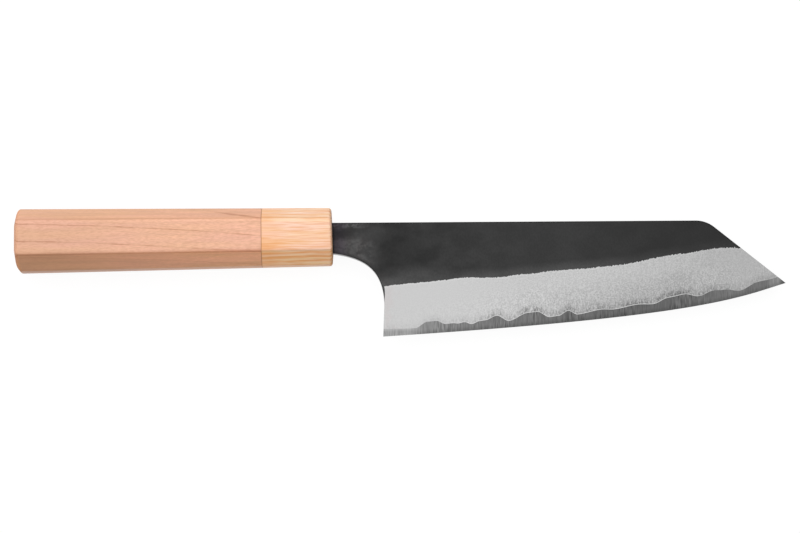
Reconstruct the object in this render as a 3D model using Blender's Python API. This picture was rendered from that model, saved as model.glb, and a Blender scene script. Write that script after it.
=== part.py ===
"""Bunka knife: a forge-welded three-layer blade in an octagonal wooden handle.

Run it with blender --background --python part.py, or from Blender's text editor.
Metres. The knife is modelled in its own frame: the handle's axis is X, x = 0 is the ferrule's
front face, +X runs to the tip, +Y to the spine, and z = 0 is the middle of the blade.
At the end the whole knife is laid on the flat side of its handle, on z = 0.
"""

import math

import bmesh
import bpy
import numpy as np
from mathutils import Matrix, Vector
from mathutils.geometry import interpolate_bezier

# Blade outline
NECK_LENGTH = 0.0199           # ferrule face to the heel's corner
BLADE_LENGTH = 0.1641          # heel's corner to the tip
NECK_TOP = 0.0057              # spine above the handle's axis at the ferrule
NECK_BOTTOM = -0.00645
SPINE_FALL = math.radians(0.4)
HEEL_DROP = 0.0412             # heel's corner below the handle's axis
TIP_DROP = 0.0215
EDGE_HEEL_ANGLE = math.radians(2.9)
EDGE_TIP_ANGLE = math.radians(16.6)
EDGE_STRAIGHTNESS = 0.785      # share of the edge that the heel's tangent governs
EDGE_TIP_SWEEP = 0.125         # share of the edge that the tip's tangent governs
KTIP_ANGLE = math.radians(39.4)
KTIP_RADIUS = 0.012            # where the spine turns down to the tip

# Choil: the curve from the neck down to the heel's back
CHOIL_ANGLE = math.radians(-14.0)
CHOIL_NECK_REACH = 0.0080
CHOIL_HEEL_REACH = 0.0200
HEEL_BACK_HEIGHT = 0.0110      # straight stretch of the heel's back
HEEL_BACK_LEAN = math.radians(2.8)

# Blade thickness
NECK_THICKNESS = 0.0036
KTIP_THICKNESS = 0.0021        # at the spine's corner
EDGE_THICKNESS = 0.0003        # just behind the cutting bevel
CUTTING_BEVEL = 0.0005         # height of the fine bevel that cuts
APEX_THICKNESS = 0.00004
FLAT_TAPER = math.radians(0.8)  # each forged flat leans in towards the edge
BEVEL_BELLY = 0.6              # roundness of the ground bevel, 0 is flat

# Top of the ground bevel: distance from the heel and drop below the handle's axis
GRIND_LINE = (
    (0.0000, 0.0206), (0.0335, 0.0177), (0.0610, 0.0161), (0.0810, 0.0147), (0.1050, 0.0119),
    (0.1235, 0.0086), (0.1375, 0.0068), (0.1460, 0.0063),
)

# Three layers
WELD_GAP = 0.00003             # between a cladding and the core
SEAT_DEPTH = 0.00008           # least height of the cladding's lower rim
CORE_FLARE = math.radians(0.5)  # each core face opens towards the spine

# Crests and troughs of the weld line on each side: distance from the heel and height above the edge
WELD_LEFT = (
    (0.0000, 0.0030), (0.0130, 0.0025), (0.0180, 0.0048), (0.0216, 0.0049), (0.0254, 0.0034),
    (0.0285, 0.0035), (0.0305, 0.0032), (0.0330, 0.0036), (0.0360, 0.0026), (0.0395, 0.0036),
    (0.0415, 0.0037), (0.0462, 0.0052), (0.0512, 0.0027), (0.0588, 0.0053), (0.0627, 0.0054),
    (0.0678, 0.0028), (0.0715, 0.0030), (0.0753, 0.0047), (0.0791, 0.0028), (0.0890, 0.0038),
    (0.0940, 0.0033), (0.1036, 0.0041), (0.1101, 0.0035), (0.1161, 0.0052), (0.1227, 0.0056),
    (0.1287, 0.0038), (0.1345, 0.0050), (0.1388, 0.0044), (0.1458, 0.0025), (0.1523, 0.0040),
    (0.1588, 0.0035), (0.1641, 0.0034),
)
WELD_RIGHT = (
    (0.0000, 0.0026), (0.0055, 0.0031), (0.0110, 0.0044), (0.0170, 0.0029), (0.0250, 0.0049),
    (0.0290, 0.0046), (0.0345, 0.0027), (0.0425, 0.0039), (0.0490, 0.0030), (0.0550, 0.0051),
    (0.0585, 0.0049), (0.0640, 0.0027), (0.0720, 0.0036), (0.0785, 0.0029), (0.0850, 0.0053),
    (0.0910, 0.0034), (0.1000, 0.0044), (0.1070, 0.0028), (0.1150, 0.0050), (0.1200, 0.0043),
    (0.1270, 0.0030), (0.1340, 0.0037), (0.1400, 0.0028), (0.1465, 0.0044), (0.1530, 0.0031),
    (0.1641, 0.0036),
)

# Tang
TANG_LENGTH = 0.0950
TANG_END_HEIGHT = 0.0042
TANG_END_THICKNESS = 0.0026
MACHI_DEPTH = 0.0036           # notch under the neck, inside the ferrule
MACHI_STEP = 0.0018

# Octagonal handle
FERRULE_LENGTH = 0.0290
BODY_LENGTH = 0.1007
FRONT_HEIGHT = 0.0231
FRONT_WIDTH = 0.0188
FRONT_SIDE_FACET = 0.0128
FRONT_TOP_FACET = 0.0060
BUTT_HEIGHT = 0.0257
BUTT_WIDTH = 0.0222
BUTT_SIDE_FACET = 0.0140
BUTT_TOP_FACET = 0.0065
FERRULE_ROUNDING = 0.0012
BUTT_ROUNDING_LENGTH = 0.0025  # along the handle
BUTT_ROUNDING_DEPTH = 0.0052   # across it
ARRIS_EASE = 0.0004            # sanded edge between two facets

# Joinery inside the handle
DOWEL_DIAMETER = 0.0150
DOWEL_TAIL = 0.0045            # whole wood behind the slot for the tang
DOWEL_CHAMFER = 0.0006
FERRULE_WALL = 0.0050          # wood left in front of the ferrule's bore
BEDDING_WALL = 0.0006          # resin beside the tang
WOOD_FIT = 0.0002              # round every dowel, bore and slot
GLUE_LINE = 0.0001             # between the ferrule and the body

# Fineness of the surfaces
STATION_STEP = 0.0011
BEVEL_STRIPS = 4
CURVE_STEPS = 14
ROUND_SIDES = 40
CUT_MARGIN = 0.0020            # how far cutters and blanks run past what they cut

HEEL = Vector((NECK_LENGTH, -HEEL_DROP))
TIP = Vector((NECK_LENGTH + BLADE_LENGTH, -TIP_DROP))


def clear_scene():
    for item in list(bpy.data.objects):
        bpy.data.objects.remove(item, do_unlink=True)


def material(name, colour, roughness, metallic=0.0):
    made = bpy.data.materials.new(name)
    made.use_nodes = True
    made.diffuse_color = (*colour, 1.0)
    shader = made.node_tree.nodes["Principled BSDF"]
    shader.inputs["Base Color"].default_value = (*colour, 1.0)
    shader.inputs["Roughness"].default_value = roughness
    shader.inputs["Metallic"].default_value = metallic
    return made


def add_object(name, bm, finish=None, smooth_angle=None):
    bmesh.ops.recalc_face_normals(bm, faces=bm.faces)
    mesh = bpy.data.meshes.new(name)
    bm.to_mesh(mesh)
    bm.free()
    if smooth_angle is not None:
        mesh.shade_smooth()
        mesh.set_sharp_from_angle(angle=smooth_angle)
    item = bpy.data.objects.new(name, mesh)
    bpy.context.scene.collection.objects.link(item)
    if finish is not None:
        mesh.materials.append(finish)
    return item


def add_cutter(name, bm):
    item = add_object(name, bm)
    item.hide_render = True
    item.display_type = "WIRE"
    return item


def boolean(item, operation, cutter):
    step = item.modifiers.new(cutter.name, "BOOLEAN")
    step.operation = operation
    step.solver = "EXACT"
    step.object = cutter


def loft(rings):
    """A closed solid through rings of points that all have the same count."""
    bm = bmesh.new()
    rows = [[bm.verts.new(point) for point in ring] for ring in rings]
    count = len(rows[0])
    for row, following in zip(rows, rows[1:]):
        for index in range(count):
            after = (index + 1) % count
            bm.faces.new((row[index], row[after], following[after], following[index]))
    bm.faces.new(rows[0])
    bm.faces.new(rows[-1])
    return bm


def prism(outline, half_depth):
    """An outline in the blade's plane, made thick on both sides of it."""
    return loft([[(x, y, z) for x, y in outline] for z in (-half_depth, half_depth)])


def rod(start, end, radius, chamfer=0.0):
    """A round rod along X, with its two rims chamfered if that is asked for."""
    stations = [(start, radius), (end, radius)]
    if chamfer:
        stations = [(start, radius - chamfer), (start + chamfer, radius),
                    (end - chamfer, radius), (end, radius - chamfer)]
    turns = [2.0 * math.pi * (index + 0.5) / ROUND_SIDES for index in range(ROUND_SIDES)]
    return loft([[(x, r * math.cos(turn), r * math.sin(turn)) for turn in turns] for x, r in stations])


def block(low, high):
    bm = bmesh.new()
    bmesh.ops.create_cube(bm, size=1.0)
    middle = [(a + b) / 2.0 for a, b in zip(low, high)]
    bmesh.ops.scale(bm, vec=[b - a for a, b in zip(low, high)], verts=bm.verts)
    bmesh.ops.translate(bm, vec=middle, verts=bm.verts)
    return bm


def direction(angle):
    return Vector((math.cos(angle), math.sin(angle)))


def bezier(start, start_angle, start_reach, end, end_angle, end_reach, count):
    """A curve that leaves start and arrives at end at the given angles."""
    first = start + direction(start_angle) * start_reach
    last = end - direction(end_angle) * end_reach
    return interpolate_bezier(start, first, last, end, count)


def carried_on(points, start_angle, end_angle, past):
    """The same curve with a straight run added at both ends, as arrays for height_on."""
    before = points[0] - direction(start_angle) * past
    after = points[-1] + direction(end_angle) * past
    whole = [before, *points, after]
    return np.array([p.x for p in whole]), np.array([p.y for p in whole])


def height_on(curve, x):
    return float(np.interp(x, curve[0], curve[1]))


def edge_curve():
    chord = (TIP - HEEL).length
    points = bezier(HEEL, EDGE_HEEL_ANGLE, chord * EDGE_STRAIGHTNESS,
                    TIP, EDGE_TIP_ANGLE, chord * EDGE_TIP_SWEEP, 200)
    return carried_on(points, EDGE_HEEL_ANGLE, EDGE_TIP_ANGLE, TANG_LENGTH + 2.0 * NECK_LENGTH)


def grind_curve():
    """A smooth curve through the marks of the grind line."""
    marks = [Vector((NECK_LENGTH + place, -drop)) for place, drop in GRIND_LINE]
    turns = [math.atan2(after.y - before.y, after.x - before.x)
             for before, after in zip([marks[0], *marks[:-1]], [*marks[1:], marks[-1]])]
    points = []
    for index in range(1, len(marks)):
        reach = (marks[index] - marks[index - 1]).length / 3.0
        points += bezier(marks[index - 1], turns[index - 1], reach,
                         marks[index], turns[index], reach, 16)[:-1]
    return carried_on([*points, marks[-1]], turns[0], turns[-1], TANG_LENGTH + 2.0 * NECK_LENGTH)


EDGE = edge_curve()
GRIND = grind_curve()


def spine_height(x):
    return NECK_TOP - x * math.tan(SPINE_FALL)


def ktip_height(x):
    return TIP.y + (TIP.x - x) * math.tan(KTIP_ANGLE)


def ktip_corner():
    """Where the spine's line meets the line that falls to the tip."""
    fall = math.tan(KTIP_ANGLE)
    x = (TIP.y + TIP.x * fall - NECK_TOP) / (fall - math.tan(SPINE_FALL))
    return Vector((x, spine_height(x)))


def spine_half(x):
    """Half the thickness along the line of the spine, thinner to the tip and to the tang's end."""
    if x < 0.0:
        end, reach = TANG_END_THICKNESS, -TANG_LENGTH
    else:
        end, reach = KTIP_THICKNESS, ktip_corner().x
    return (NECK_THICKNESS + (end - NECK_THICKNESS) * x / reach) / 2.0


def blade_half(x, y):
    """Half the thickness of the blade: a leaning flat above the grind line, a bellied bevel below."""
    grind = height_on(GRIND, x)
    flat = spine_half(x) - (spine_height(x) - max(y, grind)) * math.tan(FLAT_TAPER)
    if y >= grind:
        return flat
    edge = height_on(EDGE, x)
    share = (y - edge) / (grind - edge)
    rise = share * (1.0 + BEVEL_BELLY * (1.0 - share))
    return EDGE_THICKNESS / 2.0 + (flat - EDGE_THICKNESS / 2.0) * rise


def weld_height(x, line):
    """Where the core steel starts: a line that swings smoothly between its crests and troughs."""
    place = min(max(x - NECK_LENGTH, line[0][0]), line[-1][0])
    (start, before), (end, after) = next(pair for pair in zip(line, line[1:]) if place <= pair[1][0])
    share = (place - start) / (end - start)
    return height_on(EDGE, x) + before + (after - before) * share * share * (3.0 - 2.0 * share)


def ground_stations():
    """Distances from just before the heel to just past the tip at which a cross-section is drawn."""
    start = NECK_LENGTH - CUT_MARGIN
    end = TIP.x + CUT_MARGIN
    count = math.ceil((end - start) / STATION_STEP)
    return list(np.linspace(start, end, count + 1))


def stations():
    """The same, after those of the tang's end and the neck."""
    return [-TANG_LENGTH - CUT_MARGIN, 0.0, *ground_stations()]


def chord_height(x):
    return HEEL.y + (x - HEEL.x) * (TIP.y - HEEL.y) / (TIP.x - HEEL.x)


def core_edge_half():
    """Half the core at the edge, as much as leaves each cladding its seat all along the weld line."""
    room = []
    for x in ground_stations():
        for line in (WELD_LEFT, WELD_RIGHT):
            low = weld_height(x, line) - WELD_GAP
            flare = (low - chord_height(x)) * math.tan(CORE_FLARE)
            room.append(blade_half(x, low) - flare)
    return min(room) - WELD_GAP - SEAT_DEPTH


CORE_EDGE_HALF = core_edge_half()


def core_half(x, y):
    """The flat face of the core layer, under the cladding."""
    return CORE_EDGE_HALF + (y - chord_height(x)) * math.tan(CORE_FLARE)


def tang_top(x):
    return NECK_TOP + (TANG_END_HEIGHT / 2.0 - NECK_TOP) * -x / TANG_LENGTH


def tang_bottom(x):
    start = NECK_BOTTOM + MACHI_STEP
    return start + (-TANG_END_HEIGHT / 2.0 - start) * (-x - MACHI_DEPTH) / (TANG_LENGTH - MACHI_DEPTH)


def ktip_turn():
    """The round between the spine and the line to the tip."""
    corner = ktip_corner()
    back = direction(math.pi - SPINE_FALL)
    half = (KTIP_ANGLE - SPINE_FALL) / 2.0
    start = corner + back * (KTIP_RADIUS * math.tan(half))
    centre = start - direction(math.pi / 2.0 - SPINE_FALL) * KTIP_RADIUS
    steps = [math.pi / 2.0 - SPINE_FALL - 2.0 * half * n / CURVE_STEPS for n in range(CURVE_STEPS + 1)]
    return [centre + direction(turn) * KTIP_RADIUS for turn in steps]


def blade_outline():
    """The blade and tang seen from the side, running past the edge so that the edge is left as ground."""
    past_tip = TIP.x + CUT_MARGIN / 2.0
    heel_top = HEEL + Vector((math.tan(HEEL_BACK_LEAN), 1.0)) * HEEL_BACK_HEIGHT
    below_heel = HEEL - Vector((math.tan(HEEL_BACK_LEAN), 1.0)) * CUT_MARGIN
    neck = Vector((0.0, NECK_BOTTOM))
    choil = bezier(neck, CHOIL_ANGLE, CHOIL_NECK_REACH,
                   heel_top, -math.pi / 2.0 - HEEL_BACK_LEAN, CHOIL_HEEL_REACH, CURVE_STEPS + 1)
    edge_x = np.linspace(HEEL.x, past_tip, CURVE_STEPS)[1:]
    under_edge = [Vector((x, height_on(EDGE, x) - CUT_MARGIN)) for x in edge_x]
    return [
        Vector((-TANG_LENGTH, tang_top(-TANG_LENGTH))),
        Vector((0.0, NECK_TOP)),
        *ktip_turn(),
        Vector((past_tip, ktip_height(past_tip))),
        *reversed(under_edge),
        below_heel,
        *reversed(choil),
        Vector((-MACHI_DEPTH, NECK_BOTTOM)),
        Vector((-MACHI_DEPTH, tang_bottom(-MACHI_DEPTH))),
        Vector((-TANG_LENGTH, tang_bottom(-TANG_LENGTH))),
    ]


def cladding_ring(x, side, line):
    top = spine_height(x) + CUT_MARGIN
    grind = height_on(GRIND, x)
    rim = weld_height(x, line)
    heights = [top] + list(np.linspace(grind, rim, BEVEL_STRIPS + 1))
    outer = [(x, y, side * blade_half(x, y)) for y in heights]
    inner = [(x, y, side * (core_half(x, y) + WELD_GAP)) for y in (rim, top)]
    return outer + inner


def core_face(x, side, line):
    """One face of the core from the spine to the edge, with the step on which the cladding ends."""
    top = spine_height(x) + CUT_MARGIN
    step = weld_height(x, line) - WELD_GAP
    edge = height_on(EDGE, x)
    flat = [(x, y, side * core_half(x, y)) for y in (top, step)]
    bare = [(x, y, side * blade_half(x, y)) for y in np.linspace(step, edge + CUTTING_BEVEL, BEVEL_STRIPS)]
    return flat + bare + [(x, edge, side * APEX_THICKNESS / 2.0)]


def make_cladding(name, side, line, outline, finish):
    item = add_object(name, loft([cladding_ring(x, side, line) for x in stations()]), finish)
    boolean(item, "INTERSECT", outline)
    return item


def make_core(outline, finish):
    rings = [core_face(x, 1.0, WELD_LEFT) + core_face(x, -1.0, WELD_RIGHT)[::-1] for x in stations()]
    item = add_object("blade_core", loft(rings), finish)
    boolean(item, "INTERSECT", outline)
    return item


def handle_size(x, front, butt):
    """A size of the octagon at x, which grows evenly from the ferrule's face to the butt."""
    return front + (butt - front) * -x / (FERRULE_LENGTH + BODY_LENGTH)


def octagon(x, inset=0.0):
    height = handle_size(x, FRONT_HEIGHT, BUTT_HEIGHT) / 2.0
    width = handle_size(x, FRONT_WIDTH, BUTT_WIDTH) / 2.0
    side = handle_size(x, FRONT_SIDE_FACET, BUTT_SIDE_FACET) / 2.0
    top = handle_size(x, FRONT_TOP_FACET, BUTT_TOP_FACET) / 2.0
    tall = (height - inset) / height
    wide = (width - inset) / width
    quarter = [(top, height), (width, side), (width, -side), (top, -height)]
    corners = quarter + [(-z, y) for z, y in reversed(quarter)]
    return [(x, y * tall, z * wide) for z, y in corners]


def ease_arrises(bm):
    """Sands the long edges between the facets, but not the rims of the two ends."""
    long_edges = [edge for edge in bm.edges
                  if not all(len(face.verts) > 4 for face in edge.link_faces)
                  and abs(edge.verts[0].co.x - edge.verts[1].co.x) > 1.0e-6]
    bmesh.ops.bevel(bm, geom=long_edges, offset=ARRIS_EASE, offset_type="OFFSET", segments=2,
                    profile=0.5, affect="EDGES", material=-1, clamp_overlap=True)


def ferrule_rings(back):
    rounding = [math.pi / 2.0 * n / 4 for n in range(5)]
    front = [(-FERRULE_ROUNDING * (1.0 - math.sin(turn)), FERRULE_ROUNDING * (1.0 - math.cos(turn)))
             for turn in reversed(rounding)]
    return [octagon(x, inset) for x, inset in front] + [octagon(back)]


def body_rings(front):
    butt = -FERRULE_LENGTH - BODY_LENGTH
    rounding = [math.pi / 2.0 * n / 6 for n in range(7)]
    end = [(butt + BUTT_ROUNDING_LENGTH * (1.0 - math.sin(turn)), BUTT_ROUNDING_DEPTH * (1.0 - math.cos(turn)))
           for turn in rounding]
    return [octagon(front)] + [octagon(x, inset) for x, inset in end]


def kerf_end():
    """Where the dowel's slot for the tang stops."""
    return -TANG_LENGTH - BEDDING_WALL - 2.0 * WOOD_FIT


def dowel_ends():
    return kerf_end() - DOWEL_TAIL, -FERRULE_WALL - WOOD_FIT


def slot_half(x):
    """Half the width that the tang takes at x, with its clearance."""
    return spine_half(x) + WOOD_FIT


def kerf_half():
    return slot_half(-FERRULE_WALL) + BEDDING_WALL + WOOD_FIT


def make_ferrule(finish):
    bm = loft(ferrule_rings(-FERRULE_LENGTH + GLUE_LINE / 2.0))
    ease_arrises(bm)
    item = add_object("ferrule", bm, finish, math.radians(30.0))
    radius = DOWEL_DIAMETER / 2.0 + WOOD_FIT
    boolean(item, "DIFFERENCE", add_cutter("cut_ferrule_bore", rod(
        -FERRULE_LENGTH - CUT_MARGIN, -FERRULE_WALL, radius)))
    boolean(item, "DIFFERENCE", add_cutter("cut_ferrule_mouth", block(
        (-FERRULE_WALL - CUT_MARGIN, NECK_BOTTOM - WOOD_FIT, -slot_half(0.0)),
        (CUT_MARGIN, NECK_TOP + WOOD_FIT, slot_half(0.0)))))
    return item


def make_body(finish):
    bm = loft(body_rings(-FERRULE_LENGTH - GLUE_LINE / 2.0))
    ease_arrises(bm)
    item = add_object("handle_body", bm, finish, math.radians(30.0))
    boolean(item, "DIFFERENCE", add_cutter("cut_body_bore", rod(
        dowel_ends()[0] - WOOD_FIT, -FERRULE_LENGTH + CUT_MARGIN, DOWEL_DIAMETER / 2.0 + WOOD_FIT)))
    return item


def make_dowel(finish):
    back, front = dowel_ends()
    item = add_object("handle_dowel", rod(back, front, DOWEL_DIAMETER / 2.0, DOWEL_CHAMFER), finish,
                      math.radians(30.0))
    boolean(item, "DIFFERENCE", add_cutter("cut_dowel_kerf", block(
        (kerf_end(), -DOWEL_DIAMETER, -kerf_half()),
        (front + CUT_MARGIN, DOWEL_DIAMETER, kerf_half()))))
    return item


def tang_pocket():
    """The tang's own shape and its clearance, cut out of the resin."""
    start = dowel_ends()[1] + CUT_MARGIN
    end = -TANG_LENGTH - WOOD_FIT
    rings = []
    for x in (end, start):
        low = tang_bottom(x) - WOOD_FIT
        high = tang_top(x) + WOOD_FIT
        half = slot_half(x)
        rings.append([(x, low, -half), (x, high, -half), (x, high, half), (x, low, half)])
    return loft(rings)


def make_bedding(finish):
    front = dowel_ends()[1]
    half = kerf_half() - WOOD_FIT
    reach = DOWEL_DIAMETER / 2.0
    item = add_object("tang_bedding", block(
        (kerf_end() + WOOD_FIT, -reach, -half), (front, reach, half)), finish)
    boolean(item, "INTERSECT", add_cutter("cut_bedding_round", rod(
        kerf_end() - CUT_MARGIN, front + CUT_MARGIN, reach)))
    boolean(item, "DIFFERENCE", add_cutter("cut_tang_pocket", tang_pocket()))
    return item


def lay_down(parts):
    """Lays the knife on the flat side of its handle, with the middle of its box over the origin."""
    root = bpy.data.objects.new("knife", None)
    bpy.context.scene.collection.objects.link(root)
    lean = math.atan((BUTT_WIDTH - FRONT_WIDTH) / 2.0 / (FERRULE_LENGTH + BODY_LENGTH))
    turn = Matrix.Rotation(lean, 4, "Y")
    bpy.context.view_layer.update()
    graph = bpy.context.evaluated_depsgraph_get()
    corners = []
    for item in parts:
        mesh = item.evaluated_get(graph).to_mesh()
        corners += [turn @ vertex.co for vertex in mesh.vertices]
    low = Vector([min(corner[axis] for corner in corners) for axis in range(3)])
    high = Vector([max(corner[axis] for corner in corners) for axis in range(3)])
    middle = (low + high) / 2.0
    root.rotation_euler = (0.0, lean, 0.0)
    root.location = (-middle.x, -middle.y, -low.z)
    for item in bpy.data.objects:
        if item != root:
            item.parent = root


def main():
    clear_scene()
    core_steel = material("carbon core steel", (0.30, 0.30, 0.31), 0.38, 1.0)
    scale_iron = material("forge-black iron", (0.07, 0.07, 0.075), 0.62, 0.6)
    cherry = material("cherry", (0.72, 0.42, 0.28), 0.55)
    pale_wood = material("pale boxwood", (0.87, 0.60, 0.33), 0.55)
    beech = material("beech dowel", (0.66, 0.49, 0.32), 0.65)
    resin = material("set resin", (0.16, 0.10, 0.06), 0.35)

    depth = NECK_THICKNESS + CUT_MARGIN
    outline = add_cutter("cut_blade_outline", prism(blade_outline(), depth))
    parts = [
        make_core(outline, core_steel),
        make_cladding("cladding_left", 1.0, WELD_LEFT, outline, scale_iron),
        make_cladding("cladding_right", -1.0, WELD_RIGHT, outline, scale_iron),
        make_body(cherry),
        make_ferrule(pale_wood),
        make_dowel(beech),
        make_bedding(resin),
    ]
    lay_down(parts)


main()
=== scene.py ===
# %% [markdown]
# A bunka is a Japanese kitchen knife with a tall, nearly flat blade whose tip is cut off at an angle.
# This one lies on its side: three forged layers, black scale above, hazy ground iron below, a dark
# strip of bare core steel along the edge, and an octagonal cherry handle with a pale ferrule. The
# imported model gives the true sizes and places. The cells below dress it: they measure the model, set
# the camera and the light, model each visible layer finely, and give each one its finish.

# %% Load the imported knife
import math

import bmesh
import bpy
import numpy as np
from mathutils import Matrix, Vector
from mathutils.geometry import interpolate_bezier


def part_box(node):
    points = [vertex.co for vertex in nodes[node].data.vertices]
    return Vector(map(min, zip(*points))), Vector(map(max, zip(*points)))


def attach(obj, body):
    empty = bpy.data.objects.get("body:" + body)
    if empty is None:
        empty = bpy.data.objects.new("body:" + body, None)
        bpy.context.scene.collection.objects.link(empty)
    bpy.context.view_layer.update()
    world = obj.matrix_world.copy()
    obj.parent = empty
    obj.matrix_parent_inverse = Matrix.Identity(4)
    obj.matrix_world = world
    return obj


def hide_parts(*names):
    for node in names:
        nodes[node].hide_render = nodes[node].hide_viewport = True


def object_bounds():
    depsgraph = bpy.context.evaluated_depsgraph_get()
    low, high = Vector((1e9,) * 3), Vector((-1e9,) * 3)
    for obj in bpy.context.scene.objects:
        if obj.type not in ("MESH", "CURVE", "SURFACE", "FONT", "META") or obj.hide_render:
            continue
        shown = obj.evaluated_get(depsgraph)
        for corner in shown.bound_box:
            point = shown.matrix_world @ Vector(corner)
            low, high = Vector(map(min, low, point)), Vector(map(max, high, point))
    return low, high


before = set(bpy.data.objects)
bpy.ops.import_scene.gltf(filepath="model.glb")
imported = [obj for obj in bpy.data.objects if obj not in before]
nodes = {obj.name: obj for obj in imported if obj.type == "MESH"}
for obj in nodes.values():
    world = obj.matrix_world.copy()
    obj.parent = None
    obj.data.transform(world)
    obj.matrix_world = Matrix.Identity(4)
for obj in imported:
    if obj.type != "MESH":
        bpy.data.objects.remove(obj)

cad_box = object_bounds()
print("packed knife, mm:", [round(1000.0 * (b - a), 2) for a, b in zip(*cad_box)])

# %% [markdown]
# A knife is drawn most easily in its own frame: x along the handle's axis from the ferrule's face to
# the tip, y up to the spine, z out of the side that shows, all in millimetres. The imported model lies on
# a side facet of a handle that tapers, so its axis leans a little. One matrix takes every piece from
# the knife's frame, in mm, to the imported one, in metres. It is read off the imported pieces.

# %% From the knife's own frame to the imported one
MM = 0.001
NECK_LENGTH = 19.9              # ferrule's face to the heel's corner
BLADE_LENGTH = 164.1            # heel's corner to the tip
NECK_TOP = 5.7                  # spine above the handle's axis at the ferrule
FERRULE_LENGTH = 29.0
BODY_LENGTH = 100.7
FRONT_WIDTH = 18.8              # handle from side to side at the ferrule's face
BUTT_WIDTH = 22.2

HANDLE_LENGTH = FERRULE_LENGTH + BODY_LENGTH
LEAN = math.atan((BUTT_WIDTH - FRONT_WIDTH) / 2.0 / HANDLE_LENGTH)


def find_axis_start():
    """The middle of the ferrule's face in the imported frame, in metres."""
    core_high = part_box("blade_core")[1]
    x = core_high.x - (NECK_LENGTH + BLADE_LENGTH) * MM * math.cos(LEAN)
    y = core_high.y - NECK_TOP * MM
    z = cad_box[0].z + FRONT_WIDTH / 2.0 * MM * math.cos(LEAN)
    return Vector((x, y, z))


AXIS_START = find_axis_start()
LAY_DOWN = Matrix.Translation(AXIS_START) @ Matrix.Rotation(LEAN, 4, "Y") @ Matrix.Scale(MM, 4)
print("axis starts at", [round(v, 5) for v in AXIS_START])
print("it leans by", round(math.degrees(LEAN), 2), "degrees")

# %% [markdown]
# The photograph looks almost straight down on the knife through a long lens, from a little towards its
# edge, so the lower bevels of the handle show, and square to the handle's axis. The camera is aimed by
# one point of the object, the middle of the ferrule's face, and by the number of pixels that a metre
# takes up there.

# %% Camera
FRAME_WIDTH = 800
FRAME_HEIGHT = 533
FACE_PIXEL = (333.2, 237.15)    # where the ferrule's face has its middle in the photograph
PIXELS_PER_METRE = 2450.0
CAMERA_ELEVATION = math.radians(81.4)
CAMERA_ROLL = math.radians(-0.8)
CAMERA_DISTANCE = 1.3
SENSOR_WIDTH = 36.0


def add_camera():
    look = bpy.data.cameras.new("camera")
    camera = bpy.data.objects.new("camera", look)
    bpy.context.scene.collection.objects.link(camera)
    tilt = Matrix.Rotation(math.pi / 2.0 - CAMERA_ELEVATION, 3, "X")
    axes = Matrix.Rotation(LEAN, 3, "Y") @ tilt @ Matrix.Rotation(CAMERA_ROLL, 3, "Z")
    right, up, back = axes.col
    across = (FRAME_WIDTH / 2.0 - FACE_PIXEL[0]) / PIXELS_PER_METRE
    down = (FRAME_HEIGHT / 2.0 - FACE_PIXEL[1]) / PIXELS_PER_METRE
    place = AXIS_START + right * across - up * down + back * CAMERA_DISTANCE
    camera.matrix_world = Matrix.Translation(place) @ axes.to_4x4()
    look.sensor_width = SENSOR_WIDTH
    look.lens = CAMERA_DISTANCE * SENSOR_WIDTH * PIXELS_PER_METRE / FRAME_WIDTH
    bpy.context.scene.camera = camera
    print("lens", round(look.lens, 1), "mm at", CAMERA_DISTANCE, "m")


add_camera()

# %% [markdown]
# A few small helpers serve every finish. Colours are written as sRGB hex values, as a paint program
# shows them, and are turned to the linear values that the renderer works in. A node is added with its
# settings and its inputs in one call: an input is a number, a colour or the node that feeds it. It
# could be done line by line, but then a finish of thirty nodes would hide what it draws. The two kinds
# of node that come back most, and their settings, have short names.

# %% Colours and nodes
MATH = "ShaderNodeMath"
MIX = "ShaderNodeMix"
ADD = {"operation": "ADD"}
SUBTRACT = {"operation": "SUBTRACT"}
MULTIPLY = {"operation": "MULTIPLY"}
MULTIPLY_ADD = {"operation": "MULTIPLY_ADD"}
ABSOLUTE = {"operation": "ABSOLUTE"}
MAXIMUM = {"operation": "MAXIMUM"}
PINGPONG = {"operation": "PINGPONG"}
NUMBERS = {"data_type": "FLOAT"}
COLOURS = {"data_type": "RGBA"}
TINT = {"data_type": "RGBA", "blend_type": "MULTIPLY"}


def linear(hex_colour):
    """An sRGB hex colour such as 'c8a078' as linear red, green, blue and alpha."""
    parts = [int(hex_colour[i:i + 2], 16) / 255.0 for i in (0, 2, 4)]
    return tuple(p / 12.92 if p <= 0.04045 else ((p + 0.055) / 1.055) ** 2.4 for p in parts) + (1.0,)


def grey(hex_colour):
    """The linear tone of an sRGB grey."""
    return linear(hex_colour)[0]


def feed(tree, target, inputs):
    """Sets inputs to values, or links them to the first open output of other nodes."""
    for key, value in inputs.items():
        if isinstance(value, bpy.types.Node):
            value = next(output for output in value.outputs if output.enabled)
        if isinstance(value, bpy.types.NodeSocket):
            tree.links.new(value, target.inputs[key])
        else:
            target.inputs[key].default_value = value


def add_node(tree, kind, settings, inputs):
    """Adds a node with its settings and its inputs."""
    made = tree.nodes.new(kind)
    for name, value in settings.items():
        setattr(made, name, value)
    feed(tree, made, inputs)
    return made


# %% [markdown]
# The studio could be a few small lamps, but they would draw hard shadows and bright dots on the steel.
# It is a white room: camera and reflections see it at full strength, while its plain light is weak.
# Nearly all light comes from one softbox as large as a ceiling, a little beyond the spine, so the side
# facet of the handle gets the most light, the upper bevel nearly as much and the lower bevel about
# half. Together they light the side at a level of one. Metal mirrors the white room and not the
# softbox. The floor looks white to the camera and in reflections, and still takes a part of the knife's
# soft shadow.

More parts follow.
